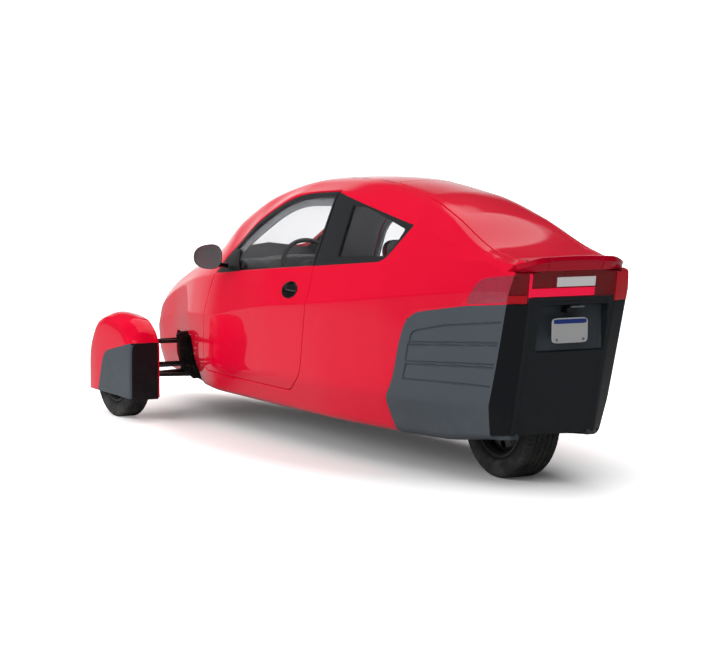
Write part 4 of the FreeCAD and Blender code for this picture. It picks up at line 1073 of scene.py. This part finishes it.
# %% [markdown]
# ## Fairings
# Each front wheel runs under a narrow fairing: tall and rounded above, square
# behind, drawn out to a point in front. It is lofted like the body, from sections
# with a foot, a shoulder and a crown.

# %% Stations of a fairing
# x from the front axle, half width inside and outside, heights of foot, outer shoulder, crown, inner shoulder
FAIRING = np.array(((-299, 78, 82, 125, 427, 436, 434), (-290, 87, 91, 125, 432, 452, 446),
                    (-250, 90, 93, 125, 452, 508, 494), (-150, 90, 93.5, 125, 522, 566, 548),
                    (30, 90, 93.5, 125, 548, 586, 566), (160, 86, 90, 125, 515, 562, 535),
                    (275, 74, 78, 125, 410, 470, 430), (326, 60, 64, 126, 325, 395, 340),
                    (350, 48, 52, 150, 290, 348, 300), (370, 30, 34, 190, 255, 290, 260),
                    (376, 12, 14, 235, 245, 255, 247))) / 1000
FLAP = outline(((-340, 90), (-340, 434), (-285, 431), (66, 358), (165, 90)), (5, 5, 30, 70, 5), FRONT)
KNUCKLE_PORT = outline(((-170, 60), (-170, 440), (155, 440), (155, 60)), (5, 40, 40, 5), FRONT)


# %% Fairing skins
def fairing_form(x, s, hand):
    """Skin of a fairing: s is 0 at the foot on the wheel's outer side, 2 at the crown, 4 at the foot inside."""
    inner, outer, foot, shoulder, crown, inside = smooth_through(x, FAIRING[:, 0], FAIRING[:, 1:]).T
    rise = np.stack([soft(s - k, width) for k, width in enumerate((.1, .2, .45, .2, .1))], -1)
    ramp = rise[:, :-1] - rise[:, 1:]
    corners = np.array(((outer, outer, 0 * outer, -inner, -inner), (foot, shoulder, crown, inside, foot)))
    y, z = corners[:, 0, :, None] + np.einsum("mk,ckn->cnm", ramp, np.diff(corners, axis=1))
    return xyz((x + FRONT)[:, None], hand * (TRACK + y), z)


def fairing_skin(hand, cuts, proud=0.):
    """The fairing's sheet cut by reaches and moved out by proud."""
    x = np.concatenate([np.linspace(-.299, -.25, 12)[:-1], np.linspace(-.25, .3, 56)[:-1],
                        np.linspace(.3, .376, 16)])
    part = flipped(laid(fairing_form(x, np.linspace(0, 4, 81), hand)), hand > 0)
    return moved(cut(part, *cuts), proud)


def rear_sheet(hand, proud):
    """The fairing's square rear end below its crown, with rounded upright edges."""
    wide, high = np.meshgrid(np.linspace(-.0795, .0835, 40), np.linspace(.125, .432, 60), indexing="ij")
    bend = soft(np.abs(wide - .002) - .0735, .006)
    return flipped(laid(xyz(FRONT - .299 - proud + bend, hand * (TRACK + wide), high)), hand > 0)


# %% Fairings and their flaps
def fairing(hand, name, proud=.0015):
    """The painted fairing without its flap and the port for the knuckle, and the flap a little proud of it."""
    in_flap, in_port = inside_of(FLAP), inside_of(KNUCKLE_PORT)

    def outer_side(points):
        """Reach on the wheel's outer side."""
        return hand * points[:, 1] - TRACK

    red = fairing_skin(hand, (lambda points: np.maximum(-in_flap(points), -outer_side(points)),
                              lambda points: np.maximum(-in_port(points), outer_side(points))))
    piece("fairing_skin_" + name, name + "_knuckle", solid(red, depth=.012, roll=.002), PAINTED, "red_paint",
          "fairing_" + name)
    flap = solid(fairing_skin(hand, (in_flap, outer_side), proud), depth=.006, roll=.002)
    # The rear sheet takes the third finish: the flap's plastic darkened as painted shade.
    points, faces, mark = solid(rear_sheet(hand, proud), depth=.006, roll=.002)
    piece("flap_skin_" + name, name + "_knuckle", together(flap, (points, faces, mark + 2)),
          (CLAD, LINING, REAR_FACING_PAINTED_SHADE, LINING), "grey_plastic", "fairing_flap_" + name)


fairing(1, "left")
fairing(-1, "right")

# %% [markdown]
# ## Tyres
# A tyre is one profile carried round the axle. The grooves are not cut: the radius
# drops by the groove's depth wherever the profile crosses one, and shoulder blocks
# come from a wave along the tread.

# %% Turning a profile
def turned(centre, radius, across, count=360, relief=None):
    """Profile (radius, place along Y) carried round the Y axis; relief(angle, across) adds to the radius."""
    spin, place = np.meshgrid(np.linspace(0, 2 * np.pi, count, endpoint=False), across, indexing="ij")
    reach = np.array(radius) + (relief(spin, place) if relief else 0 * spin)
    points = xyz(centre[0] + reach * np.sin(spin), centre[1] + place, centre[2] + reach * np.cos(spin))
    return merged(points.reshape(-1, 3), grid(count + 1, len(across)) % (count * len(across)))


# %% Tyres
def tread(half, blocks, grooves):
    """A relief of round grooves and a wave of shoulder blocks, both fading at their edges."""
    def relief(angle, place):
        groove = sum(np.clip(1.6 - np.abs(place - spot * half) / .0042, 0, 1) for spot in grooves)
        share = np.abs(place) / half
        band = np.clip((share - .6) / .05, 0, 1) * np.clip((.97 - share) / .05, 0, 1)
        wave = np.clip(4 * np.cos(angle * blocks + share * 2.2) - 3, 0, 1) * band
        slits = np.clip(6 * np.cos(angle * blocks + place / half * 4) - 5, 0, 1) * (share < .55) * .5
        return -.008 * np.maximum(groove, np.maximum(wave * .8, slits)) * (share < .97)
    return relief


def tyre(name, body, centre, radius, bead, width, blocks, grooves):
    """Sidewalls that bulge past the bead, round shoulders, and a tread with grooves and shoulder blocks."""
    half = width / 2
    # share of the way from bead to tread, radius, and half width as a share
    wall = np.array(((0, bead + .0005, .72), (.12, bead + .006, .86), (.3, bead + .3 * (radius - bead), .985),
                     (.52, radius - .030, 1), (.7, radius - .010, .95), (.82, radius - .003, .86),
                     (.92, radius - .0005, .78), (1., radius, .7)))
    reach, place = smooth_through(np.linspace(0, 1, 44), wall[:, 0], wall[:, 1:] * (1, half)).T
    rings = np.cos(np.clip((reach - bead - .01) / .012, 0, 3) * 2 * np.pi)
    reach = reach + .0012 * rings * (reach < bead + .045)
    flat = np.linspace(.7 * half, -.7 * half, 72)[1:-1]
    across = np.concatenate([place, flat, -place[::-1]])
    rise = np.concatenate([reach, np.full(len(flat), radius), reach[::-1]])
    outer = turned(centre, rise, across, blocks * 6, tread(half, blocks, grooves))
    liner = turned(centre, bead + .0005, np.linspace(-.72 * half, .72 * half, 12), blocks * 2)
    piece("tyre_%s_tread" % name, body, together(outer, liner), RUBBER, "tyre", "tyre_" + name, crease=50)


FRONT_RADIUS, REAR_RADIUS = .275, .3
LEFT_HUB, RIGHT_HUB = ((FRONT, hand * TRACK, FRONT_RADIUS) for hand in (1, -1))
REAR_HUB = (REAR, 0, REAR_RADIUS)
FRONT_TYRE = (FRONT_RADIUS, .190, .115, 64, (-.42, 0, .42))
tyre("front_left", "left_front_wheel", LEFT_HUB, *FRONT_TYRE)
tyre("front_right", "right_front_wheel", RIGHT_HUB, *FRONT_TYRE)
tyre("rear", "rear_wheel", REAR_HUB, REAR_RADIUS, .205, .175, 72, (-.48, -.16, .16, .48))

# %% [markdown]
# ## Floor
# The floor pan is pressed sheet: a flat middle with long beads that stiffen it.

# %% Floor pan
def beads(x, y):
    """Height of the pressed beads: long ridges every 140 mm across, fading at their ends."""
    wave = np.clip(1.4 * np.cos(y / .14 * 2 * np.pi) - .5, 0, .9)
    ends = np.clip((x - REAR - .6) / .08, 0, 1) * np.clip((REAR + 2.45 - x) / .08, 0, 1)
    return .008 * wave * ends


x = np.linspace(REAR + .48, REAR + 3.264, 150)[:, None]
foot = corners_at(x[:, 0])[:, 13]
y = (foot[:, :1] - .030) * np.linspace(-1, 1, 150)
sheet_metal = flipped(laid(xyz(x, y, foot[:, 1:] + .006 + .004 + beads(x, y))))
piece("floor_sheet", "car", solid(sheet_metal, depth=.026, roll=.002), (FRAME_BLACK, LINING), "frame_black",
      "floor_pan")

# %% [markdown]
# ## Mirrors and handle
# The mirror is a shell that is flat behind, where the glass sits, and swells
# forward. One formula gives its rim and its body: a rounded rectangle that
# shrinks as it goes forward.

# %% Parts of a mirror
def mirror(hand):
    """Shell with its arm, and glass, of one mirror."""
    angle = np.linspace(0, 2 * np.pi, 73)
    spot = np.array((REAR + 2.062, hand * .585, .925))
    y, z = rounded_ring(angle, .082, .065, 2.5)
    taller = z * (1 - .12 * (y / .078))
    t = np.concatenate([[0, .02, .05], np.linspace(.1, 1, 20)])[:, None]
    size = np.sqrt(np.maximum(1 - t ** 2.4, 0)) * np.where(t == 0, .955, 1)
    shell = sheet(xyz(spot[0] + .082 * t, spot[1] + hand * (size * y) - .018 * hand * t,
                      spot[2] + size * taller))
    radius = np.linspace(0, 1, 12)[:, None]
    disc = sheet(xyz(spot[0] + .004 - .004 * radius ** 6, spot[1] + hand * .955 * radius * y,
                     spot[2] + .955 * radius * taller))
    path = np.linspace(0, 1, 14)[:, None]
    ring_y, ring_z = rounded_ring(angle, .017, .014, 2.6)
    arm = sheet(xyz(REAR + 2.100 + .012 * path + ring_y, hand * (.545 - .095 * path),
                    .885 - .012 * path + ring_z))
    return together(faced_out(shell), faced_out(arm)), faced(disc, (-1, 0, 0))


# %% Mirrors
# Painted reflection: the mirror's glass is a dull grey-green, standing in for what a mirror would show.
MIRROR_PAINTED_REFLECTION = finish("mirror glass with painted reflection", "8e999c", "828c90", .3, 300, .0, .02, .2, Metallic=.2)
for hand, name, body, stands in ((1, "left", "door", "door_mirror"), (-1, "right", "car", "mirror_right")):
    shell, disc = mirror(hand)
    piece("mirror_%s_shell" % name, body, shell, GLOSS_BLACK, "black_plastic", stands)
    piece("mirror_%s_glass" % name, body, disc, MIRROR_PAINTED_REFLECTION, "steel")


# %% The handle's dish
def dish(radius_at, sink):
    """An oval surface on the door's side: the radius and how far out from the skin it stands at each ring."""
    angle = np.linspace(0, 2 * np.pi, 97)
    x = DISH[0] + radius_at * np.cos(angle) * DISH_STRETCH
    z = DISH[1] + radius_at * np.sin(angle)
    return faced(sheet(xyz(x, side(x, z) + sink, z)), (0, 1, 0))


# %% Handle
RINGS = np.array(((0, -19), (10, -19), (20, -18), (27, -16), (31, -11), (34, -4), (36, 1), (38, 3), (40, 3.5),
                  (41.5, 3), (42.5, 1.5), (43, -1))) / 1000
bowl = dish(RINGS[:, :1], RINGS[:, 1:])
along, up = np.meshgrid(np.linspace(-.033, .033, 40), np.linspace(-.006, .024, 24), indexing="ij")
lift = -.003 + .006 * (1 - (along / .036) ** 2) - .004 * np.abs((up - .009) / .015) ** 3
x = DISH[0] + along / .033 * DISH_STRETCH * np.sqrt(np.maximum(.0335 ** 2 - up ** 2, 0))
z = DISH[1] + up
paddle = solid(faced(sheet(xyz(x, side(x, z) + lift, z)), (0, 1, 0)), depth=.006, roll=.0015)
piece("handle_bowl", "door", together(bowl, paddle), GLOSS_BLACK, "black_plastic", "door_handle")

# %% [markdown]
# ## Nose front
# The nose ends in a blunt cap round a low grille. The cap carries the last section
# on, each ring smaller and further forward, along a quarter of an ellipse.

# %% Cap and grille
last = form(np.array((REAR + 3.547,)), np.linspace(-7, 7, 281))[0]
CAP_MIDDLE = np.array((REAR + 3.547, 0, .352))
CAP_END = .66       # radians of the quarter ellipse that the cap takes up


def cap_ring(a):
    """The last section drawn in to cos a of its size and moved forward by 20 mm times sin a."""
    return CAP_MIDDLE + (last - CAP_MIDDLE) * np.cos(a) + np.array((.020 * math.sin(a), 0, 0))


cap = faced(sheet(np.stack([cap_ring(a) for a in np.linspace(0, CAP_END, 14)])), (1, 0, 0))
cap = solid(cap, depth=.016, roll=.002, plain=lambda points: points[:, 0] - CAP_MIDDLE[0])
piece("nose_cap", "car", cap, PAINTED, "red_paint")
opening = cap_ring(CAP_END)[:-1, 1:]
y, z = np.meshgrid(np.linspace(-.14, .14, 150), np.linspace(.26, .45, 190), indexing="ij")
slat = .006 * np.abs(np.sin((z - .26) / .024 * np.pi))
slat += .005 * np.clip(np.abs(np.sin(y / .05 * np.pi)) * 8 - 7, 0, 1)
part = cut(laid(xyz(CAP_MIDDLE[0] - .006 + slat, y, z)),
           lambda points: within(points[:, 1], points[:, 2], opening) + .004)
piece("nose_grille", "car", solid(faced(part, (1, 0, 0)), depth=.006, roll=.001), BLACK, "black_plastic")

# %% [markdown]
# ## Headlamps
# Each headlamp is a clear cover that carries on the nose's form. Behind it sits a
# dark bowl with two round projectors, which are profiles turned about X.

# %% Profiles about X
def turned_ahead(centre, profile):
    """Profile (radius, place along X) carried round the X axis."""
    angle = np.linspace(0, 2 * np.pi, 49)
    radius, along = profile[:, :1], profile[:, 1:]
    return faced_out(sheet(xyz(centre[0] + along, centre[1] + radius * np.cos(angle),
                               centre[2] + radius * np.sin(angle))))


# %% Headlamps
PROJECTOR = np.array(((0, 16), (14, 14), (21, 9), (24, 3), (25, 0), (25, -12), (22, -16), (0, -16))) / 1000
covers, bowls, projectors = [], [], []
for hand in (1, -1):
    part = skin(3.38, 3.53, 2.5, 6, .004, 40, (inside_of(HEADLAMPS, grow=-.002, hand=hand),), hand)
    covers.append(solid(part, depth=.003, roll=.001))
    depth = .03 * np.clip(inside_of(HEADLAMPS, grow=-.002)(part[0]) / .02, 0, 1)
    bowls.append(moved(part, -.006 - depth))
    for along, up, size in ((.684, .43, .8), (.650, .45, .65)):
        place = (FRONT + along, hand * (float(side(FRONT + along, up)) - .030), up)
        projectors.append(turned_ahead(place, PROJECTOR * (size, 1)))
piece("headlamp_covers", "car", together(*covers), LENS_CLEAR, "lamp_clear", "headlamps")
piece("headlamp_bowls", "car", together(*bowls), LAMP_SHADE, "black_plastic")
piece("headlamp_projectors", "car", together(*projectors), REFLECTOR, "lamp_clear")

# %% [markdown]
# ## Suspension
# The wishbones, shafts and dampers are the CAD's own pieces, in a worn black coating
# or in steel. What they leave out is added: coil springs, ribbed boots, and the
# sheet tower beside each opening, pierced with rows of holes.

# %% Tubes along a path
def unit(values):
    """Rows brought to length 1."""
    return values / np.linalg.norm(values, axis=-1, keepdims=True)


def tube(path, radius, count=14, squash=1.):
    """Rings across a path, each of its own radius and flattened by squash; the ends close to a point."""
    radius = np.broadcast_to(radius, len(path))
    ahead = unit(np.gradient(path, axis=0))
    upright = np.abs(ahead[:, 2:]) > .95
    level = unit(np.cross(ahead, np.where(upright, (0, 1, 0), (0, 0, 1))))
    rise = np.cross(level, ahead)
    angle = np.linspace(0, 2 * np.pi, count + 1)[:, None]
    ring = level[:, None] * np.cos(angle) + rise[:, None] * np.sin(angle) * squash
    points = path[:, None] + ring * radius[:, None, None]
    ends = [np.broadcast_to(path[k], points[:1].shape) for k in (0, -1)]
    return faced_out(sheet(np.concatenate([ends[0], points, ends[1]])))


def coil(foot, head, radius, wire, turns):
    """A spring: a helix about the line from foot to head."""
    foot, head = np.array(foot), np.array(head)
    line = unit(head - foot)
    first = unit(np.cross(line, (1, 0, 0)))
    second = np.cross(line, first)
    t = np.linspace(0, 1, int(turns * 20))[:, None]
    spin = t * turns * 2 * np.pi
    return tube(foot + (head - foot) * t + radius * (first * np.cos(spin) + second * np.sin(spin)), wire, 8)

# %% Springs and boots
springs, boots = [], []
for hand in (1, -1):
    springs.append(coil((FRONT + .107, hand * .336, .30), (FRONT + .114, hand * .292, .505), .030, .0045, 6))
    t = np.linspace(0, 1, 61)
    ribs = .026 + .0075 * np.abs(np.sin(t * 5 * np.pi)) - .006 * t
    boots += [tube(xyz(FRONT, hand * (start + .056 * t), .275), ribs, 28) for start in (.222, .575)]
piece("front_springs", "car", together(*springs), SPRING, "steel")
piece("shaft_boots", "car", together(*boots), RUBBER, "frame_black")
spring = coil((REAR + .402, 0, .345), (REAR + .402, 0, .60), .046, .006, 6)
piece("rear_spring", "car", spring, SPRING, "steel")

# %% Towers beside the openings
TOWER = np.array(((.275, .200), (.380, .200), (.452, .262), (.485, .452), (.462, .470), (.275, .478)))
# Four rows of holes: y and z of the highest hole, the step to the next one down, and how many
HOLES = np.array([(y - dy * k, z - dz * k) for y, z, dy, dz, count in (
    (.468, .440, .009, .033, 6), (.428, .448, .008, .036, 6),
    (.385, .448, .006, .04, 6), (.340, .445, 0, .045, 5)) for k in range(count)])


def pierced(points):
    """Reach outside the round holes of the tower's sheet."""
    away = np.hypot(np.abs(points[:, 1, None]) - HOLES[:, 0], points[:, 2, None] - HOLES[:, 1])
    return away.min(1) - .0055


def in_tower(points):
    """Reach inside the tower's outline, seen along the car."""
    return within(np.abs(points[:, 1]), points[:, 2], TOWER)


def tower(hand):
    """A flat sheet across the car, cut to the tower's outline and pierced, with a flange round its edge."""
    y, z = np.meshgrid(np.linspace(.27, .49, 150), np.linspace(.195, .485, 200), indexing="ij")
    points, faces = cut(flipped(laid(xyz(FRONT - .128, hand * y, z)), hand > 0), in_tower, pierced)
    points[:, 0] += .022 * np.clip(1 - in_tower(points) / .004, 0, 1) ** 2
    return solid((points, faces), depth=.003, roll=.0005)


piece("suspension_towers", "car", together(tower(1), tower(-1)), FRAME_BLACK, "frame_black")

# %% [markdown]
# ## Wheels
# A pressed wheel is one dished profile turned about the axle. The round windows
# are cut out of it, and the bolts and the hub cap sit in the middle.

# %% Bolt heads
def hexagon(spot, hand, radius, height):
    """A bolt head: rings of six corners, the last two narrowing to a chamfer and a flat."""
    angle = np.linspace(0, 2 * np.pi, 7)
    size = np.array((1., 1., .86, 0.))[:, None] * radius
    out = np.array((-.004, .75, 1., 1.))[:, None] * height * hand
    return faced_out(sheet(xyz(spot[0] + size * np.sin(angle), spot[1] + out, spot[2] + size * np.cos(angle))))


# %% Wheels
# The disc's profile: share of the rim's radius, and how far out it stands as a share of half the width
DISC = np.array(((.30, .30), (.40, .31), (.52, .38), (.64, .50), (.76, .46), (.86, .32), (.92, .30), (.94, .50),
                 (.955, .70), (.97, .82), (.985, .86), (1., .85)))


def wheel_disc(name, body, centre, hand, rim_radius, half, windows=9):
    """The rim's lip and dish turned, pierced by a ring of round windows, with bolts and a cap."""
    centre = np.array(centre)
    spin = np.arange(windows) * 2 * np.pi / windows
    ring = .70 * rim_radius

    def open_windows(points):
        """Reach outside the ring of windows."""
        x, z = points[:, 0, None] - centre[0], points[:, 2, None] - centre[2]
        return np.hypot(x - ring * np.sin(spin), z - ring * np.cos(spin)).min(1) - .105 * rim_radius

    knots = np.linspace(0, 1, len(DISC))
    radius, place = smooth_through(np.linspace(0, 1, 90), knots, DISC * (rim_radius, half * hand)).T
    disc = faced(turned(centre, radius, place, 216), (0, hand, 0))
    brake = turned(centre, np.array((.03, .82 * rim_radius, .83 * rim_radius, .82 * rim_radius, .03)),
                   hand * np.array((.16, .16, .10, .04, .04)) * half, 96)
    barrel = np.linspace(.84, -.84, 30) * half
    depth = rim_radius * (.97 - .07 * np.clip(1 - (np.abs(barrel) / half - .62) / .16, 0, 1))
    cap = turned(centre + (0, hand * .29 * half, 0), (.0005, .012, .022, .028, .030, .030),
                 hand * np.array((.026, .0255, .022, .014, .006, -.01)), 48)
    parts = [solid(cut(disc, open_windows), depth=.004, roll=.001), faced_out(brake),
             solid(faced_out(turned(centre, depth, barrel, 144)), depth=.004, roll=.0005)]
    for turn in np.arange(4) * np.pi / 2 + .4:
        out = (.40 * rim_radius * np.sin(turn), hand * .33 * half, .40 * rim_radius * np.cos(turn))
        parts.append(hexagon(centre + out, hand, .0085, .014))
    parts.append(faced(cap, (0, hand, 0)))
    piece("wheel_" + name, body, together(*parts), RIM, "rim_alloy", "rim_" + name)


wheel_disc("front_left", "left_front_wheel", LEFT_HUB, 1, .1895, .0575)
wheel_disc("front_right", "right_front_wheel", RIGHT_HUB, -1, .1895, .0575)
wheel_disc("rear", "rear_wheel", REAR_HUB, 1, .2045, .0875, 10)

# %% [markdown]
# ## Cabin
# The dash is one profile carried across the car and held inside the body's skin.
# The steering wheel is a ring with three spokes on the column's tilted axis.

# %% Profiles carried across
def across_car(profile, half, roll=.012, count=60):
    """A closed profile in side view carried across the car.

    At roll (1 - cos a) from an end it is drawn in by roll (1 - sin a), a from 0 to 90 degrees, then closed."""
    centre = profile.mean(0)
    a = np.linspace(0, np.pi / 2, 7)
    end = np.concatenate([[-half], -half + roll * (1 - np.cos(a))])
    ends = np.concatenate([end, np.linspace(-half + roll, half - roll, count)[1:-1], -end[::-1]])
    drop = np.concatenate([[1e3], roll * (1 - np.sin(a))])
    drop = np.concatenate([drop, np.zeros(count - 2), drop[::-1]])
    arm = profile - centre
    share = np.maximum(1 - drop[:, None] / np.linalg.norm(arm, axis=1), 0)
    points = xyz(centre[0] + share * arm[:, 0], ends[:, None], centre[1] + share * arm[:, 1])
    return faced_out(sheet(points, closed=True))


# %% Dash
DASH = outline(((2075, 790), (2062, 850), (2110, 898), (2300, 893), (2490, 878), (2490, 670), (2300, 655),
                (2140, 710)), (20, 25, 25, 60, 20, 20, 60, 50))
points, faces = across_car(DASH, .349)
limit = side(points[:, 0], points[:, 2]) - .034
points[:, 1] = np.clip(points[:, 1], -limit, limit)
hood = .022 * np.exp(-(points[:, 1] / .16) ** 4) * np.clip((points[:, 2] - .86) / .03, 0, 1)
points[:, 2] += hood * np.clip((REAR + 2.30 - points[:, 0]) / .08, 0, 1)
piece("dash_skin", "car", (points, faces), DASH_BLACK, "black_plastic", "dashboard")

# %% The steering wheel's own directions
TILT = math.radians(25)
AXIS = np.array((-math.cos(TILT), 0, math.sin(TILT)))
RISE = np.array((math.sin(TILT), 0, math.cos(TILT)))
HUB = np.array((REAR + 2.0, 0, .85))


def on_wheel(across, up, out):
    """Points from the wheel's own three directions: across, up in its plane, and out towards the driver."""
    across, up, out = np.broadcast_arrays(across, up, out)
    return HUB + xyz(0, across, 0) + np.multiply.outer(up, RISE) + np.multiply.outer(out, AXIS)


# %% Steering wheel
turn = np.linspace(0, 2 * np.pi, 145)[:-1, None]
round_ring = np.linspace(0, 2 * np.pi, 19)[:-1]
reach = .165 + .0125 * np.cos(round_ring)
ring = on_wheel(np.cos(turn) * reach, np.sin(turn) * reach, .0125 * np.sin(round_ring)).reshape(-1, 3)
parts = [faced_out((ring, grid(145, 18, closed=True) % len(ring)))]
t = np.linspace(0, 1, 16)
reach = .04 + .115 * t
for spoke in (0, np.pi, 1.5 * np.pi):
    path = on_wheel(np.cos(spoke) * reach, np.sin(spoke) * reach, -.016 * (1 - t) ** 2)
    parts.append(tube(path, .020 - .006 * t, 16, .45))
BOSS = np.array(((0, 16), (30, 15.5), (48, 12), (56, 4), (58, -6), (56, -20), (40, -28), (0, -30))) / 1000
boss_across, boss_up = rounded_ring(np.linspace(0, 2 * np.pi, 49), 1., .85, 2.8)
parts.append(faced_out(sheet(on_wheel(BOSS[:, :1] * boss_across, BOSS[:, :1] * boss_up, BOSS[:, 1:]))))
piece("steering_ring", "steering_wheel", together(*parts), DASH_BLACK, "black_plastic", "steering_wheel")

# %% [markdown]
# ## Seats
# A seat is foam in a sewn cover: crowned, drawn in at its corners and along its
# seams. Each pad starts as a rounded block a little smaller than its place, is
# blown up by a cloth simulation, and then has its seams pressed in.

# %% Rounded blocks and baked meshes
def block(size, power=.32, count=48):
    """A superellipsoid: each coordinate is half the size times products of sine and cosine to a power."""
    up = np.linspace(-np.pi / 2, np.pi / 2, count)[:, None]
    turn = np.linspace(-np.pi, np.pi, 2 * count + 1)
    flat = raised(np.cos(up), power)
    points = xyz(flat * raised(np.cos(turn), power), flat * raised(np.sin(turn), power),
                 raised(np.sin(up), power))
    return faced_out(sheet(points * np.array(size) / 2))


def co_of(mesh):
    """A mesh's points as an array."""
    values = np.empty(len(mesh.vertices) * 3)
    mesh.vertices.foreach_get("co", values)
    return values.reshape(-1, 3)


def baked(thing):
    """Applies a piece's modifiers by taking the evaluated mesh."""
    bpy.context.view_layer.update()
    result = bpy.data.meshes.new_from_object(thing.evaluated_get(bpy.context.evaluated_depsgraph_get()))
    thing.modifiers.clear()
    thing.data = result


# %% Cloth that swells
def swollen(name, points, faces, voxel=.007, cap=.022):
    """Remeshes a pad, inflates it as cloth, holds each point within cap of its start and subdivides it once."""
    thing = shape(name, points, faces)
    remesh = thing.modifiers.new("remesh", "REMESH")
    remesh.mode = "VOXEL"
    remesh.voxel_size = voxel
    baked(thing)
    start = co_of(thing.data)
    cloth = thing.modifiers.new("cloth", "CLOTH")
    cloth.settings.use_pressure = True
    cloth.settings.uniform_pressure_force = 4.
    cloth.settings.effector_weights.gravity = 0.
    for frame_number in range(1, 21):
        scene.frame_set(frame_number)
    baked(thing)
    scene.frame_set(1)
    shift = co_of(thing.data) - start
    length = np.linalg.norm(shift, axis=1)[:, None]
    grown = start + shift * np.minimum(1, cap / np.maximum(length, 1e-9))
    thing.data.vertices.foreach_set("co", grown.ravel())
    finer = thing.modifiers.new("finer", "SUBSURF")
    finer.levels = finer.render_levels = 1
    baked(thing)
    return thing


# %% Pads
def pressed_seams(local, channels, edge):
    """Depth of sewn lines on a pad's own top: across at some lengths, and one along each side."""
    away = np.min([np.abs(local[:, 0] - spot) for spot in channels], axis=0)
    away = np.where(np.abs(local[:, 1]) < edge, away, 9.)
    along = np.abs(np.abs(local[:, 1]) - edge)
    return .006 * (np.exp(-(away / .006) ** 2) + np.exp(-(along / .006) ** 2))


def pad(name, size, spot, lean, channels, edge, wings=.018):
    """A seat pad: swollen, its sides raised into wings, seams pressed in, then leant about Y and placed."""
    points, faces = block(size)
    points[:, 2] += wings * np.clip((np.abs(points[:, 1]) - edge) / .05, 0, 1) * (points[:, 2] > 0)
    thing = swollen(name, points, faces)
    local = co_of(thing.data)
    local[:, 2] -= pressed_seams(local, channels, edge) * np.clip(local[:, 2] / .02, 0, 1)
    turn = np.array(((math.cos(lean), 0, math.sin(lean)), (0, 1, 0), (-math.sin(lean), 0, math.cos(lean))))
    local = local @ turn.T + np.array((REAR + spot[0], 0, spot[1]))
    thing.data.vertices.foreach_set("co", local.ravel())
    thing.data.materials.clear()
    thing.data.materials.append(SEAT_CLOTH)
    thing.data.shade_smooth()
    thing.data.update()
    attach(thing, "car")
    print("%-22s %6d faces, %.3f m wide" % (name, len(thing.data.polygons), np.ptp(local[:, 1])))


def seat_shell(name, base, back):
    """A seat's base and back, each a profile carried across."""
    part = together(across_car(outline(*base), .205), across_car(outline(*back), .19))
    piece(name + "_shell", "car", part, SEAT_SHELL, "black_plastic", name)

# %% Front seat
pad("front_seat_cushion", (.47, .36, .075), (1.435, .366), -.06, (-.12, 0, .12), .13)
pad("front_seat_back", (.43, .34, .075), (1.140, .665), -1.27, (-.13, 0, .13), .12)
pad("front_headrest", (.11, .22, .060), (1.050, .918), -1.25, (.5,), .5, 0.)
seat_shell("front_seat", (((1150, 216), (1675, 216), (1688, 300), (1670, 342), (1180, 335), (1128, 280)),
                          (20, 20, 40, 20, 20, 40)),
           (((1105, 330), (1160, 335), (1080, 660), (1022, 940), (990, 955), (975, 930)),
            (15, 15, 60, 20, 12, 20)))

# %% Rear seat
pad("rear_seat_cushion", (.33, .36, .075), (.765, .366), -.04, (-.08, .05), .13)
pad("rear_seat_back", (.38, .34, .065), (.608, .640), -1.39, (-.11, .02), .12)
pad("rear_headrest", (.09, .22, .050), (.560, .842), -1.38, (.5,), .5, 0.)
seat_shell("rear_seat", (((510, 216), (930, 216), (938, 300), (925, 342), (520, 335)), (10, 20, 40, 20, 15)),
           (((505, 330), (575, 335), (545, 660), (520, 888), (505, 888)), (6, 15, 60, 8, 4)))

# %% Finishes of the pieces kept from the CAD
for material, names in ((LINING, "bulkheads"), (BLACK, "steering_column"), (STEEL, "drive_shafts hinge_pins"),
                        (ALLOY, "engine_block knuckle_left knuckle_right"),
                        (FRAME_BLACK, "front_subframe control_arms front_dampers rack_and_tie_rods swingarm "
                                      "rear_damper")):
    for name in names.split():
        for place in NODES[name].material_slots:
            place.material = material
print("kept pieces have finishes")
